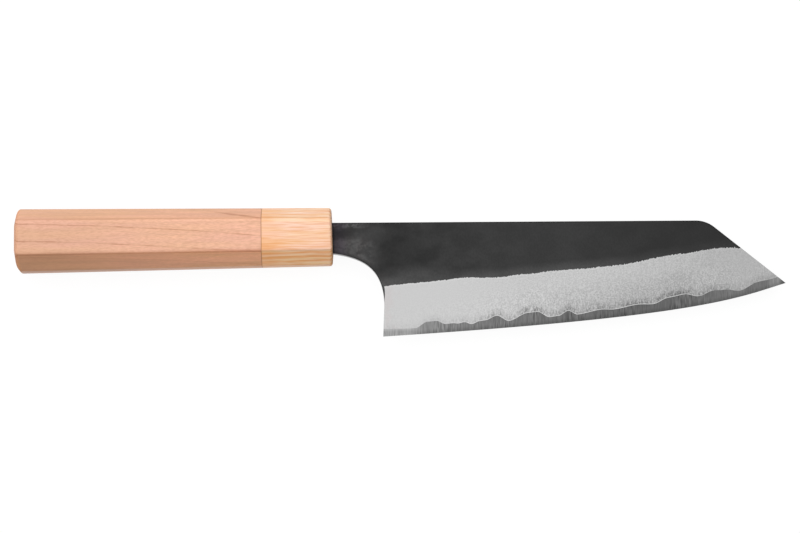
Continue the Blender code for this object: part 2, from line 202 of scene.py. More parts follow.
# %% World, lamp and floor
AMBIENT = 0.12                  # strength of the room's plain light
SOFTBOX_PLACE = (-0.5, 0.4, 1.5)
SOFTBOX_SIZE = (3.4, 3.0)
SOFTBOX_POWER = 54.0
FLOOR_REACH = 4.0               # from the middle of the floor to its sides, m
FLOOR_GLOW = 0.88               # share of the floor's look that is plain white
FLOOR_WHITE = 1.06              # strength of that white, which makes up for the matt share


def seen_directly(tree):
    """One for rays from the camera, from a reflection or through glass, and zero for plain light."""
    path = add_node(tree, "ShaderNodeLightPath", {}, {})
    seen = add_node(tree, MATH, MAXIMUM,
                    {0: path.outputs["Is Camera Ray"], 1: path.outputs["Is Glossy Ray"]})
    return add_node(tree, MATH, MAXIMUM, {0: seen, 1: path.outputs["Is Transmission Ray"]})


def light_world():
    world = bpy.data.worlds.new("white room")
    bpy.context.scene.world = world
    world.use_nodes = True
    tree = world.node_tree
    tree.nodes.clear()
    strength = add_node(tree, "ShaderNodeMapRange", {},
                        {"Value": seen_directly(tree), "To Min": AMBIENT, "To Max": 1.0})
    light = add_node(tree, "ShaderNodeBackground", {}, {"Color": linear("ffffff"), "Strength": strength})
    add_node(tree, "ShaderNodeOutputWorld", {}, {"Surface": light})


def hang_softbox():
    """A lamp as large as a ceiling that looks at the knife."""
    lamp = bpy.data.lights.new("ceiling softbox", "AREA")
    lamp.shape = "RECTANGLE"
    lamp.size, lamp.size_y = SOFTBOX_SIZE
    lamp.energy = SOFTBOX_POWER
    item = bpy.data.objects.new("ceiling softbox", lamp)
    item.visible_glossy = False
    bpy.context.scene.collection.objects.link(item)
    aim = (-Vector(SOFTBOX_PLACE)).to_track_quat("-Z", "Y")
    item.matrix_world = Matrix.Translation(SOFTBOX_PLACE) @ aim.to_matrix().to_4x4()
    print("softbox of", SOFTBOX_SIZE, "m at", SOFTBOX_PLACE)


def add_floor():
    bm = bmesh.new()
    bmesh.ops.create_grid(bm, x_segments=1, y_segments=1, size=FLOOR_REACH)
    mesh = bpy.data.meshes.new("floor")
    bm.to_mesh(mesh)
    bm.free()
    floor = bpy.data.objects.new("floor", mesh)
    bpy.context.scene.collection.objects.link(floor)
    paper = bpy.data.materials.new("white paper")
    paper.use_nodes = True
    tree = paper.node_tree
    tree.nodes.clear()
    matt = add_node(tree, "ShaderNodeBsdfDiffuse", {}, {"Color": linear("e6e6e6")})
    glow = add_node(tree, "ShaderNodeEmission", {}, {"Color": linear("ffffff"), "Strength": FLOOR_WHITE})
    share = add_node(tree, MATH, MULTIPLY, {0: seen_directly(tree), 1: FLOOR_GLOW})
    mixed = add_node(tree, "ShaderNodeMixShader", {}, {0: share, 1: matt, 2: glow})
    add_node(tree, "ShaderNodeOutputMaterial", {}, {"Surface": mixed})
    mesh.materials.append(paper)


light_world()
hang_softbox()
add_floor()
bpy.context.scene.view_settings.view_transform = "Standard"

# %% [markdown]
# Every piece is finished the same way. Its bmesh is drawn in the knife's frame, its doubles are merged
# and its faces turned outwards. Modifiers, where a cut needs them, are applied, edges sharper than an
# angle stay sharp, and last the mesh itself is laid down, so that its object stays at the origin.

# %% Making a piece
MERGE = 0.0005                  # points closer than this become one, mm


def add_mesh_object(name, bm):
    mesh = bpy.data.meshes.new(name)
    bm.to_mesh(mesh)
    bm.free()
    item = bpy.data.objects.new(name, mesh)
    bpy.context.scene.collection.objects.link(item)
    return item


def cut(item, operation, tool):
    """Cuts item with a closed tool mesh, which is removed afterwards."""
    step = item.modifiers.new(operation, "BOOLEAN")
    step.operation = operation
    step.solver = "EXACT"
    step.object = tool
    graph = bpy.context.evaluated_depsgraph_get()
    result = bpy.data.meshes.new_from_object(item.evaluated_get(graph))
    item.modifiers.clear()
    old = item.data
    item.data = result
    bpy.data.meshes.remove(old)
    bpy.data.meshes.remove(tool.data)


def finish_piece(item, node, smooth_angle):
    """Cleans the mesh, shades it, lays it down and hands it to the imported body."""
    bm = bmesh.new()
    bm.from_mesh(item.data)
    bmesh.ops.remove_doubles(bm, verts=bm.verts, dist=MERGE)
    bmesh.ops.recalc_face_normals(bm, faces=bm.faces)
    bm.to_mesh(item.data)
    bm.free()
    item.data.shade_smooth()
    item.data.set_sharp_from_angle(angle=smooth_angle)
    item.data.transform(LAY_DOWN)
    item.data.name = item.name
    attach(item, "root")
    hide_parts(node)
    low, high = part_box(node)
    corners = [Vector(v.co) for v in item.data.vertices]
    off = [1000.0 * max(abs(min(c[i] for c in corners) - low[i]), abs(max(c[i] for c in corners) - high[i]))
           for i in range(3)]
    print(item.name, len(item.data.polygons), "faces, its box is off by", [round(v, 3) for v in off], "mm")


# %% [markdown]
# The blade is drawn by a few curves. The edge runs nearly straight from the heel and sweeps up to the
# tip, the spine falls a little, and a straight line cuts the tip off. The ground bevel starts at its
# own curve, and the weld line wanders between crests and troughs, because the layers were drawn out
# under the hammer. A picture could be traced, but a curve with an angle at each end stays fair and can
# be drawn on past the blade, where the blanks need it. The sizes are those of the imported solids, so the
# fine layers cover them; only the neck's underside, and the start of the choil's curve with it, lies
# half a millimetre lower at the ferrule, as on the real knife.

# %% The curves of the blade
SPINE_FALL = math.radians(0.4)
EDGE_START_ANGLE = math.radians(2.9)
EDGE_END_ANGLE = math.radians(16.6)
EDGE_START_REACH = 0.785        # how far the curve keeps its first direction, as a share of the chord
EDGE_END_REACH = 0.125
HEEL = Vector((NECK_LENGTH, -41.2))
TIP = Vector((NECK_LENGTH + BLADE_LENGTH, -21.5))
NECK_BOTTOM = -7.0              # underside of the neck at the ferrule, against the handle's axis
CHOIL_START_ANGLE = math.radians(-10.0)
CHOIL_START_REACH = 8.4
CHOIL_END_REACH = 19.6
KTIP_ANGLE = math.radians(39.4)
KTIP_RADIUS = 12.0
HEEL_BACK_HEIGHT = 11.0
HEEL_BACK_LEAN = math.radians(2.8)
TANG_LENGTH = 95.0
TANG_END_HEIGHT = 4.2
MACHI_DEPTH = 3.6               # the notch where the tang starts, inside the ferrule
MACHI_STEP = 2.35               # its height
PAST = 2.0                      # how far blanks run past the outline that trims them

# Top of the ground bevel: distance from the heel and drop below the handle's axis
GRIND_LINE = (
    (0.0, 20.6), (33.5, 17.7), (61.0, 16.1), (81.0, 14.7), (105.0, 11.9), (123.5, 8.6),
    (137.5, 6.8), (146.0, 6.3),
)
# Lower border of the forge scale: distance from the heel and height over the grind line
SCALE_BORDER = (
    (0.0, -0.25), (8.0, 0.0), (20.0, -0.2), (30.0, 0.0), (36.0, 0.0), (41.0, -0.6), (48.5, -0.9),
    (53.0, -0.4), (61.0, -0.25), (69.0, 0.25), (77.0, 0.3), (81.5, -0.15), (90.0, 0.0), (98.0, -0.25),
    (104.0, -0.1), (110.0, 0.3), (118.0, 0.1), (124.0, -0.3), (130.0, -0.15), (137.0, 0.0),
    (143.0, -0.3), (147.0, -0.8),
)
# Crests and troughs of the weld line: distance from the heel and height above the edge
WELD_LEFT = (
    (0.0, 3.0), (13.0, 2.5), (18.0, 4.8), (21.6, 4.9), (25.4, 3.4), (28.5, 3.5), (30.5, 3.2),
    (33.0, 3.6), (36.0, 2.6), (39.5, 3.6), (41.5, 3.7), (46.2, 5.2), (51.2, 2.7), (58.8, 5.3),
    (62.7, 5.4), (67.8, 2.8), (71.5, 3.0), (75.3, 4.7), (79.1, 2.8), (89.0, 3.8), (94.0, 3.3),
    (103.6, 4.1), (110.1, 3.5), (116.1, 5.2), (122.7, 5.6), (128.7, 3.8), (134.5, 5.0), (138.8, 4.4),
    (145.8, 2.5), (152.3, 4.0), (158.8, 3.5), (164.1, 3.4),
)
WELD_RIGHT = (
    (0.0, 2.6), (5.5, 3.1), (11.0, 4.4), (17.0, 2.9), (25.0, 4.9), (29.0, 4.6), (34.5, 2.7),
    (42.5, 3.9), (49.0, 3.0), (55.0, 5.1), (58.5, 4.9), (64.0, 2.7), (72.0, 3.6), (78.5, 2.9),
    (85.0, 5.3), (91.0, 3.4), (100.0, 4.4), (107.0, 2.8), (115.0, 5.0), (120.0, 4.3), (127.0, 3.0),
    (134.0, 3.7), (140.0, 2.8), (146.5, 4.4), (153.0, 3.1), (164.1, 3.6),
)


def heading(angle):
    return Vector((math.cos(angle), math.sin(angle)))


def bezier(start, start_angle, start_reach, end, end_angle, end_reach, count):
    """A curve that leaves start and arrives at end at the given angles."""
    first = start + start_reach * heading(start_angle)
    last = end - end_reach * heading(end_angle)
    return interpolate_bezier(start, first, last, end, count)


def carried_on(points, start_angle, end_angle):
    """The curve with a straight run added at both ends, as arrays that np.interp reads."""
    reach = TANG_LENGTH + 2.0 * NECK_LENGTH
    before = points[0] - reach * heading(start_angle)
    after = points[-1] + reach * heading(end_angle)
    whole = [before, *points, after]
    return np.array([p.x for p in whole]), np.array([p.y for p in whole])


def draw_edge():
    """One long curve from heel to tip."""
    chord = (TIP - HEEL).length
    points = bezier(HEEL, EDGE_START_ANGLE, EDGE_START_REACH * chord,
                    TIP, EDGE_END_ANGLE, EDGE_END_REACH * chord, 200)
    return carried_on(points, EDGE_START_ANGLE, EDGE_END_ANGLE)


def draw_grind():
    """A smooth curve through the marks of the grind line."""
    marks = [Vector((NECK_LENGTH + place, -drop)) for place, drop in GRIND_LINE]
    turns = [math.atan2(after.y - before.y, after.x - before.x)
             for before, after in zip([marks[0], *marks[:-1]], [*marks[1:], marks[-1]])]
    points = []
    for start, start_turn, end, end_turn in zip(marks, turns, marks[1:], turns[1:]):
        reach = (end - start).length / 3.0
        points += bezier(start, start_turn, reach, end, end_turn, reach, 16)[:-1]
    return carried_on([*points, marks[-1]], turns[0], turns[-1])


EDGE = draw_edge()
GRIND = draw_grind()


def edge_height(x):
    return np.interp(x, *EDGE)


def grind_height(x):
    return np.interp(x, *GRIND)


def spine_height(x):
    return NECK_TOP - x * math.tan(SPINE_FALL)


def weld_height(x, line):
    """Swings smoothly from each crest to the next trough."""
    places, heights = np.array(line).T
    distance = np.clip(np.asarray(x, float) - NECK_LENGTH, places[0], places[-1])
    after = np.clip(np.searchsorted(places, distance), 1, len(places) - 1)
    share = (distance - places[after - 1]) / (places[after] - places[after - 1])
    swing = share * share * (3.0 - 2.0 * share)
    return edge_height(x) + heights[after - 1] + (heights[after] - heights[after - 1]) * swing


def ktip_corner():
    """Where the spine's line meets the line that falls to the tip."""
    fall = math.tan(KTIP_ANGLE)
    x = (TIP.y + TIP.x * fall - NECK_TOP) / (fall - math.tan(SPINE_FALL))
    return Vector((x, spine_height(x)))


print("spine's corner at", [round(v, 2) for v in ktip_corner()], "mm")

# %% [markdown]
# In section the blade is a wedge: 3.6 mm thick at the neck's spine, thinning towards the tip, with
# flats that lean in a little, a bellied bevel below them, and last a bevel half a millimetre high that
# cuts. It could be lofted between a few drawn sections. One formula for half the thickness at any point
# of the side does the same without seams, and all three layers share it.

# %% The thickness of the blade
NECK_THICKNESS = 3.6
KTIP_THICKNESS = 2.1            # at the spine's corner over the tip
TANG_END_THICKNESS = 2.6
EDGE_THICKNESS = 0.3            # just above the bevel that cuts
CUTTING_BEVEL = 0.5
APEX_THICKNESS = 0.04
FLAT_TAPER = math.radians(0.8)
BEVEL_BELLY = 0.6
CORE_EDGE_HALF = 0.16           # half the core layer at the edge
CORE_FLARE = math.radians(0.5)
LAYER_GAP = 0.01                # the layers are welded: this only keeps the meshes apart


def spine_half(x):
    """Half the thickness of tang or blade along the spine."""
    if x < 0.0:
        end, reach = TANG_END_THICKNESS, -TANG_LENGTH
    else:
        end, reach = KTIP_THICKNESS, ktip_corner().x
    return (NECK_THICKNESS + (end - NECK_THICKNESS) * x / reach) / 2.0


def blade_half(x, y):
    """Half the thickness of the whole blade at a point of its side."""
    grind = grind_height(x)
    flat = spine_half(x) - (spine_height(x) - max(y, grind)) * math.tan(FLAT_TAPER)
    if y >= grind:
        return flat
    edge = edge_height(x)
    share = (y - edge) / (grind - edge)
    rise = share * (1.0 + BEVEL_BELLY * (1.0 - share))
    return EDGE_THICKNESS / 2.0 + (flat - EDGE_THICKNESS / 2.0) * rise


def core_half(x, y):
    """Half the thickness of the core layer, which grows from the edge upwards."""
    chord = HEEL.y + (x - HEEL.x) * (TIP.y - HEEL.y) / (TIP.x - HEEL.x)
    return CORE_EDGE_HALF + (y - chord) * math.tan(CORE_FLARE)


print("blade at the heel's spine, mm:", round(2.0 * blade_half(NECK_LENGTH, spine_height(NECK_LENGTH)), 2))

# %% [markdown]
# All three layers are trimmed by one outline, as a smith grinds the welded blank to shape, and the
# trimmed corners are eased so that they don't bite the hand. So the trimming tool itself is made with
# round corners: its outline is a face, which is drawn up to the side of the blade, inset a few times
# while the height follows a quarter round, and mirrored to the other side. Cutting with such a tool
# eases spine, tip and choil in one go, on every layer.

# %% The outline tool
EASE = 0.32                     # width of the eased corner
EASE_DEPTH = 0.22               # its depth as a share of the half thickness
EASE_STEPS = 4
UNDER_SIDE = 0.002              # it ends under the side by this share, so that no two faces coincide
CLEAR_ABOVE = 4.0               # half the tool's height, mm


def ktip_turn():
    """The round between the spine and the line to the tip."""
    corner = ktip_corner()
    half = (KTIP_ANGLE - SPINE_FALL) / 2.0
    upright = math.pi / 2.0 - SPINE_FALL
    start = corner - Vector((math.sin(upright), -math.cos(upright))) * KTIP_RADIUS * math.tan(half)
    centre = start - heading(upright) * KTIP_RADIUS
    steps = [upright - 2.0 * half * n / 24 for n in range(25)]
    return [centre + KTIP_RADIUS * heading(turn) for turn in steps]


def blade_outline():
    """Corners from the tang's end along the spine, round the tip and back under the edge."""
    past_tip = TIP.x + PAST / 2.0
    lean = Vector((math.tan(HEEL_BACK_LEAN), 1.0))
    choil = bezier(Vector((0.0, NECK_BOTTOM)), CHOIL_START_ANGLE, CHOIL_START_REACH,
                   HEEL + lean * HEEL_BACK_HEIGHT, -math.pi / 2.0 - HEEL_BACK_LEAN, CHOIL_END_REACH, 41)
    under_edge = [Vector((x, edge_height(x) - PAST)) for x in np.linspace(past_tip, HEEL.x, 24)[:-1]]
    machi = NECK_BOTTOM + MACHI_STEP
    return [
        Vector((-TANG_LENGTH, TANG_END_HEIGHT / 2.0)),
        Vector((0.0, NECK_TOP)),
        *ktip_turn(),
        Vector((past_tip, TIP.y - (past_tip - TIP.x) * math.tan(KTIP_ANGLE))),
        *under_edge,
        HEEL - lean * PAST,
        *reversed(choil),
        Vector((-MACHI_DEPTH, NECK_BOTTOM)),
        Vector((-MACHI_DEPTH, machi)),
        Vector((-TANG_LENGTH, -TANG_END_HEIGHT / 2.0)),
    ]


def side_height(point, share):
    """A height over the blade's middle plane, as a share of the half thickness there."""
    return max(blade_half(point.x, point.y), APEX_THICKNESS) * share


def make_outline_tool():
    """A closed block in the outline's shape with eased corners at both sides of the blade."""
    bm = bmesh.new()
    rim = [bm.verts.new((p.x, p.y, 0.0)) for p in blade_outline()]
    face = bm.faces.new(rim)
    drawn = bmesh.ops.extrude_face_region(bm, geom=[face])
    bmesh.ops.delete(bm, geom=[face], context="FACES_ONLY")
    top = next(item for item in drawn["geom"] if isinstance(item, bmesh.types.BMFace))
    for vert in top.verts:
        vert.co.z = side_height(vert.co, 1.0 - EASE_DEPTH)
    turned = 0.0
    for step in range(1, EASE_STEPS + 1):
        turn = math.pi / 2.0 * step / EASE_STEPS
        inset = EASE * (1.0 - math.cos(turn))
        bmesh.ops.inset_region(bm, faces=[top], thickness=inset - turned, use_even_offset=True)
        turned = inset
        for vert in top.verts:
            vert.co.z = side_height(vert.co, 1.0 - EASE_DEPTH * (1.0 - math.sin(turn)) - UNDER_SIDE)
    raised = bmesh.ops.extrude_face_region(bm, geom=[top])
    bmesh.ops.delete(bm, geom=[top], context="FACES_ONLY")
    for item in raised["geom"]:
        if isinstance(item, bmesh.types.BMVert):
            item.co.z = CLEAR_ABOVE
    bmesh.ops.mirror(bm, geom=[*bm.verts, *bm.edges, *bm.faces], matrix=Matrix(), merge_dist=MERGE, axis="Z")
    bmesh.ops.recalc_face_normals(bm, faces=bm.faces)
    tool = add_mesh_object("outline_tool", bm)
    tool.hide_render = True
    return tool


print("outline of", len(blade_outline()), "corners")

# %% [markdown]
# Each layer could be extruded from its outline, but then its sides would be flat. So it starts as one
# flat grid, like a sheet of clay. Its columns are cross-sections along the knife and its rows run round
# one section. Every vertex is moved to its place on the section, the sheet's first and last rows are
# bridged so that it closes round, and the two ends are filled. Rows lie close together where the
# surface bends, and columns every half millimetre, so the weld line is smooth. Then the outline tool
# trims the layer.

# %% A layer from a bent sheet
COLUMN_STEP = 0.5
NECK_COLUMNS = 18
BEVEL_ROWS = 12
FLAT_ROWS = 8
CORE_ROWS = 8                   # on the strip of the core that is bare
BELOW_EASE = 0.8                # from the eased spine to the flat's first row, mm
LAYER_SMOOTH = math.radians(32.0)


def column_places():
    """One column behind the tang, a few on the neck and many on the blade."""
    count = math.ceil((BLADE_LENGTH + 2.0 * PAST) / COLUMN_STEP)
    blade = np.linspace(NECK_LENGTH - PAST, TIP.x + PAST, count + 1)
    neck = np.linspace(0.0, NECK_LENGTH - PAST, NECK_COLUMNS + 1)[:-1]
    return [-TANG_LENGTH - PAST, *neck, *blade]


def bend_sheet(name, section):
    """section(x) gives the ring of (y, z) points round the layer at x."""
    places = column_places()
    rows = len(section(places[0]))
    bm = bmesh.new()
    bmesh.ops.create_grid(bm, x_segments=len(places) - 1, y_segments=rows - 1, size=0.5)
    first, last = [], []
    bm.verts.ensure_lookup_table()
    rings = {index: section(x) for index, x in enumerate(places)}
    for vert in bm.verts:
        column = round((vert.co.x + 0.5) * (len(places) - 1))
        row = round((vert.co.y + 0.5) * (rows - 1))
        if row in (0, rows - 1):
            (first if row == 0 else last).append(vert)
        y, z = rings[column][row]
        vert.co = (places[column], y, z)
    sides = [[edge for edge in bm.edges if edge.verts[0] in group and edge.verts[1] in group]
             for group in (set(first), set(last))]
    bmesh.ops.bridge_loops(bm, edges=sides[0] + sides[1])
    bmesh.ops.holes_fill(bm, edges=[edge for edge in bm.edges if edge.is_boundary], sides=0)
    bmesh.ops.recalc_face_normals(bm, faces=bm.faces)
    return add_mesh_object(name, bm)


def cladding_section(x, side, line):
    """Down the outer side from above the spine to the weld line, and up against the core."""
    top = spine_height(x) + PAST
    rim = float(weld_height(x, line))
    grind = grind_height(x)
    heights = [top, *np.linspace(spine_height(x) - EASE - BELOW_EASE, grind, FLAT_ROWS)[:-1],
               *np.linspace(grind, rim, BEVEL_ROWS + 1)]
    outer = [(y, side * blade_half(x, y)) for y in heights]
    inner = [(y, side * (core_half(x, y) + LAYER_GAP)) for y in (rim, top)]
    return outer + inner


def core_section(x):
    """Down one side of the core to the cutting edge and up the other side."""
    ring = []
    for side, line in ((1.0, WELD_LEFT), (-1.0, WELD_RIGHT)):
        step = float(weld_height(x, line)) - LAYER_GAP
        edge = edge_height(x)
        face = [(y, side * core_half(x, y)) for y in (spine_height(x) + PAST, step)]
        face += [(y, side * blade_half(x, y)) for y in np.linspace(step, edge + CUTTING_BEVEL, CORE_ROWS)]
        face += [(edge, side * APEX_THICKNESS / 2.0)]
        ring += face if side > 0.0 else face[::-1]
    return ring


def make_layer(name, section, node):
    """Bends, trims and marks a layer, and hands it over."""
    layer = bend_sheet(name, section)
    cut(layer, "INTERSECT", make_outline_tool())
    mark_heights(layer)
    finish_piece(layer, node, LAYER_SMOOTH)
    return layer


# %% [markdown]
# The finishes of the blade follow its curves: scale above the grind line, ground iron below it, bare
# steel below the weld line. A painted picture could hold them, but it would be coarse and need a
# layout. So every vertex carries its distance above these lines and from the trimmed outline in
# millimetres, as attributes, and the materials read them. That keeps the borders where the geometry has
# them.


# %% Distances that the finishes read
def distance_from_outline(x, y):
    """From each point to the nearest side of the outline."""
    rim = np.array([tuple(corner) for corner in blade_outline()])
    nearest = np.full(len(x), np.inf)
    for (start_x, start_y), (run_x, run_y) in zip(rim, np.roll(rim, -1, axis=0) - rim):
        share = ((x - start_x) * run_x + (y - start_y) * run_y) / (run_x ** 2 + run_y ** 2)
        share = np.clip(share, 0.0, 1.0)
        nearest = np.minimum(nearest, np.hypot(x - start_x - share * run_x, y - start_y - share * run_y))
    return nearest


def mark_heights(item):
    """Stores four distances in every vertex, in mm, before the piece is laid down."""
    co = np.zeros(len(item.data.vertices) * 3)
    item.data.vertices.foreach_get("co", co)
    x, y, z = co.reshape(-1, 3).T
    weld = np.where(z > 0.0, weld_height(x, WELD_LEFT), weld_height(x, WELD_RIGHT))
    places, lifts = np.array(SCALE_BORDER).T
    border = grind_height(x) + np.interp(x - NECK_LENGTH, places, lifts)
    marks = {"above_border": y - border, "above_weld": y - weld,
             "above_edge": y - edge_height(x), "from_outline": distance_from_outline(x, y)}
    for name, distances in marks.items():
        values = item.data.attributes.new(name, "FLOAT", "POINT")
        values.data.foreach_set("value", distances.astype(np.float32))


left_cladding = make_layer("left_cladding", lambda x: cladding_section(x, 1.0, WELD_LEFT),
                           "cladding_left")
right_cladding = make_layer("right_cladding", lambda x: cladding_section(x, -1.0, WELD_RIGHT),
                            "cladding_right")
forged_core = make_layer("forged_core", core_section, "blade_core")

# %% [markdown]
# The handle is an octagon that grows towards the butt. Body and ferrule are each drawn from one
# eight-cornered face, which is pulled along the axis in steps: a step is an extrusion whose new face is
# scaled and moved. The steps are close together at the ends, where they follow a quarter round. A bevel
# on the ends would be quicker, but all its faces would meet at one angle, and the hand's sanding is
# uneven: the ferrule's face leans back towards its top, and the lowest corners of both ends are rubbed
# away a little. Last the long arrises are eased with a small bevel, as sandpaper does. The bore for the
# dowel and the slot for the neck are cut with plain tools.

# %% The octagonal handle
FRONT_HEIGHT, BUTT_HEIGHT = 23.1, 25.7
FRONT_SIDE_FACET, BUTT_SIDE_FACET = 12.8, 14.0
FRONT_TOP_FACET, BUTT_TOP_FACET = 6.0, 6.5
FERRULE_ROUNDING = 1.2
FACE_SLANT = 0.62               # the top of the ferrule's face is sanded back by so much
FACE_CORNER_SANDED = 0.35       # and its lower corner
BUTT_SANDED = 0.15              # the butt all round
BUTT_CORNER_SANDED = 0.5        # and its lower corner as well
LOW_CORNER_START = 7.0          # a low corner starts so far under the axis
BUTT_ROUNDING_LENGTH = 2.5
BUTT_ROUNDING_DEPTH = 5.2
FRONT_STEPS = 6                 # steps of the quarter rounds
BUTT_STEPS = 10
ARRIS_EASE = 0.4
GLUE_LINE = 0.1
DOWEL_DIAMETER = 15.0
DOWEL_BACK = -100.5
FERRULE_WALL = 5.0
WOOD_FIT = 0.2
WOOD_SMOOTH = math.radians(30.0)


def octagon(x, inset=0.0):
    """Corners at x, drawn in by inset."""
    share = -x / HANDLE_LENGTH
    height = (FRONT_HEIGHT + (BUTT_HEIGHT - FRONT_HEIGHT) * share) / 2.0
    width = (FRONT_WIDTH + (BUTT_WIDTH - FRONT_WIDTH) * share) / 2.0
    side = (FRONT_SIDE_FACET + (BUTT_SIDE_FACET - FRONT_SIDE_FACET) * share) / 2.0
    top = (FRONT_TOP_FACET + (BUTT_TOP_FACET - FRONT_TOP_FACET) * share) / 2.0
    quarter = [(top, height), (width, side), (width, -side), (top, -height)]
    corners = quarter + [(-z, y) for z, y in reversed(quarter)]
    return [Vector((x, y * (height - inset) / height, z * (width - inset) / width)) for z, y in corners]


def pull_octagon(rings):
    """Pulls an eight-cornered face from ring to ring."""
    bm = bmesh.new()
    face = bm.faces.new([bm.verts.new(corner) for corner in rings[0]])
    order = list(face.verts)
    for ring in rings[1:]:
        pulled = bmesh.ops.extrude_face_region(bm, geom=[face])
        if ring is not rings[1]:
            bmesh.ops.delete(bm, geom=[face], context="FACES_ONLY")
        face = next(item for item in pulled["geom"] if isinstance(item, bmesh.types.BMFace))
        order = match_corners(face, order)
        for vert, corner in zip(order, ring):
            vert.co = corner
    long_edges = [edge for edge in bm.edges
                  if abs(edge.verts[0].co.x - edge.verts[1].co.x) > MERGE]
    bmesh.ops.bevel(bm, geom=long_edges, offset=ARRIS_EASE, offset_type="OFFSET", segments=3,
                    profile=0.5, affect="EDGES", material=-1, clamp_overlap=True)
    bmesh.ops.recalc_face_normals(bm, faces=bm.faces)
    return bm


def low_share(corner, height):
    """Rises from zero to one between the start of the low corner and the underside."""
    return max(-corner.y - LOW_CORNER_START, 0.0) / (height / 2.0 - LOW_CORNER_START)


def sand_face(corner):
    """Leans the ferrule's face back towards its top and takes off its lower corner."""
    share = (corner.y + FRONT_HEIGHT / 2.0) / FRONT_HEIGHT
    back = FACE_SLANT * share + FACE_CORNER_SANDED * low_share(corner, FRONT_HEIGHT)
    return corner - Vector((back, 0.0, 0.0))


def sand_butt(corner):
    """Shortens the butt, most at its lower corner."""
    share = min(low_share(corner, BUTT_HEIGHT), 1.0)
    return corner + Vector((BUTT_SANDED + BUTT_CORNER_SANDED * share, 0.0, 0.0))


def match_corners(face, order):
    """The new face's corners in the order of the old ones, which lie at the same places."""
    return [min(face.verts, key=lambda vert: (vert.co - old.co).length) for old in order]


def round_rod(start, end, radius):
    """A tool that bores along the handle's axis."""
    bm = bmesh.new()
    turn = Matrix.Rotation(math.pi / 2.0, 4, "Y")
    bmesh.ops.create_cone(bm, cap_ends=True, segments=64, radius1=radius, radius2=radius, depth=end - start,
                          matrix=Matrix.Translation(((start + end) / 2.0, 0.0, 0.0)) @ turn)
    return add_mesh_object("rod_tool", bm)


def slot_block(start, end, low, high, half):
    """A tool that cuts a slot as wide as twice its half."""
    bm = bmesh.new()
    bmesh.ops.create_cube(bm, size=1.0)
    bmesh.ops.scale(bm, vec=(end - start, high - low, 2.0 * half), verts=bm.verts)
    bmesh.ops.translate(bm, vec=((start + end) / 2.0, (low + high) / 2.0, 0.0), verts=bm.verts)
    return add_mesh_object("slot_tool", bm)


def quarter_round(end, length, depth, steps):
    """Rings that round the handle off, from the full octagon to the smaller face at its end."""
    turns = [math.pi / 2.0 * n / steps for n in range(steps + 1)]
    return [octagon(end + length * (1.0 - math.sin(t)), depth * (1.0 - math.cos(t))) for t in turns]


def make_ferrule():
    """From the slightly rounded face back to the joint."""
    front = quarter_round(0.0, -FERRULE_ROUNDING, FERRULE_ROUNDING, FRONT_STEPS)[::-1]
    front = [[sand_face(corner) for corner in ring] for ring in front]
    rings = front + [octagon(-FERRULE_LENGTH + GLUE_LINE / 2.0)]
    item = add_mesh_object("pale_ferrule", pull_octagon(rings))
    bore = DOWEL_DIAMETER / 2.0 + WOOD_FIT
    cut(item, "DIFFERENCE", round_rod(-FERRULE_LENGTH - PAST, -FERRULE_WALL, bore))
    slot = slot_block(-FERRULE_WALL - PAST, PAST, NECK_BOTTOM - WOOD_FIT, NECK_TOP + WOOD_FIT,
                      NECK_THICKNESS / 2.0 + WOOD_FIT)
    cut(item, "DIFFERENCE", slot)
    finish_piece(item, "ferrule", WOOD_SMOOTH)
    return item


def make_body():
    """From the joint back to the rounded butt."""
    butt = quarter_round(-HANDLE_LENGTH, BUTT_ROUNDING_LENGTH, BUTT_ROUNDING_DEPTH, BUTT_STEPS)
    butt = [[sand_butt(corner) for corner in ring] for ring in butt]
    rings = [octagon(-FERRULE_LENGTH - GLUE_LINE / 2.0)] + butt
    item = add_mesh_object("cherry_body", pull_octagon(rings))
    bore = DOWEL_DIAMETER / 2.0 + WOOD_FIT
    cut(item, "DIFFERENCE", round_rod(DOWEL_BACK, -FERRULE_LENGTH + PAST, bore))
    finish_piece(item, "handle_body", WOOD_SMOOTH)
    return item


pale_ferrule = make_ferrule()
cherry_body = make_body()

# %% [markdown]
# Finishes read the knife's own millimetres: a Mapping node of the Texture kind undoes the lay-down
# matrix, so that a pattern runs along the handle's axis and its scale is a real size. A tone is one
# grey number that several nodes multiply in turn: the ground colour, its clouds, its grain. Where a
# tone changes along the knife or away from a line, it fades between two marks in millimetres. Grain
# finer than about half a millimetre would not show in the picture, so the finest patterns here have
# about two spots to the millimetre and stand for much finer ones.


# %% Starting a material
def start_material(name):
    """A new material, its node tree, its shader and the knife's own coordinates in mm."""
    made = bpy.data.materials.new(name)
    made.use_nodes = True
    tree = made.node_tree
    shader = tree.nodes["Principled BSDF"]
    place = add_node(tree, "ShaderNodeTexCoord", {}, {})
    knife = add_node(tree, "ShaderNodeMapping", {"vector_type": "TEXTURE"},
                     {"Vector": place.outputs["Object"], "Location": AXIS_START,
                      "Rotation": (0.0, LEAN, 0.0), "Scale": (MM, MM, MM)})
    return made, tree, shader, knife


def along_and_height(tree, knife):
    """The knife's x and y, as two outputs."""
    place = add_node(tree, "ShaderNodeSeparateXYZ", {}, {0: knife})
    return place.outputs["X"], place.outputs["Y"]


def stretched_noise(tree, knife, per_mm, detail=1.0):
    """Noise whose spots repeat about as often per millimetre as is given for each axis."""
    place = add_node(tree, "ShaderNodeVectorMath", MULTIPLY, {0: knife, 1: per_mm})
    return add_node(tree, "ShaderNodeTexNoise", {}, {"Vector": place, "Scale": 1.0, "Detail": detail})


def ramp(tree, value, start, end, low=0.0, high=1.0):
    """low where value is at start, high where it is at end, and a smooth rise between."""
    return add_node(tree, "ShaderNodeMapRange", {"interpolation_type": "SMOOTHSTEP"},
                    {"Value": value, "From Min": start, "From Max": end, "To Min": low, "To Max": high})


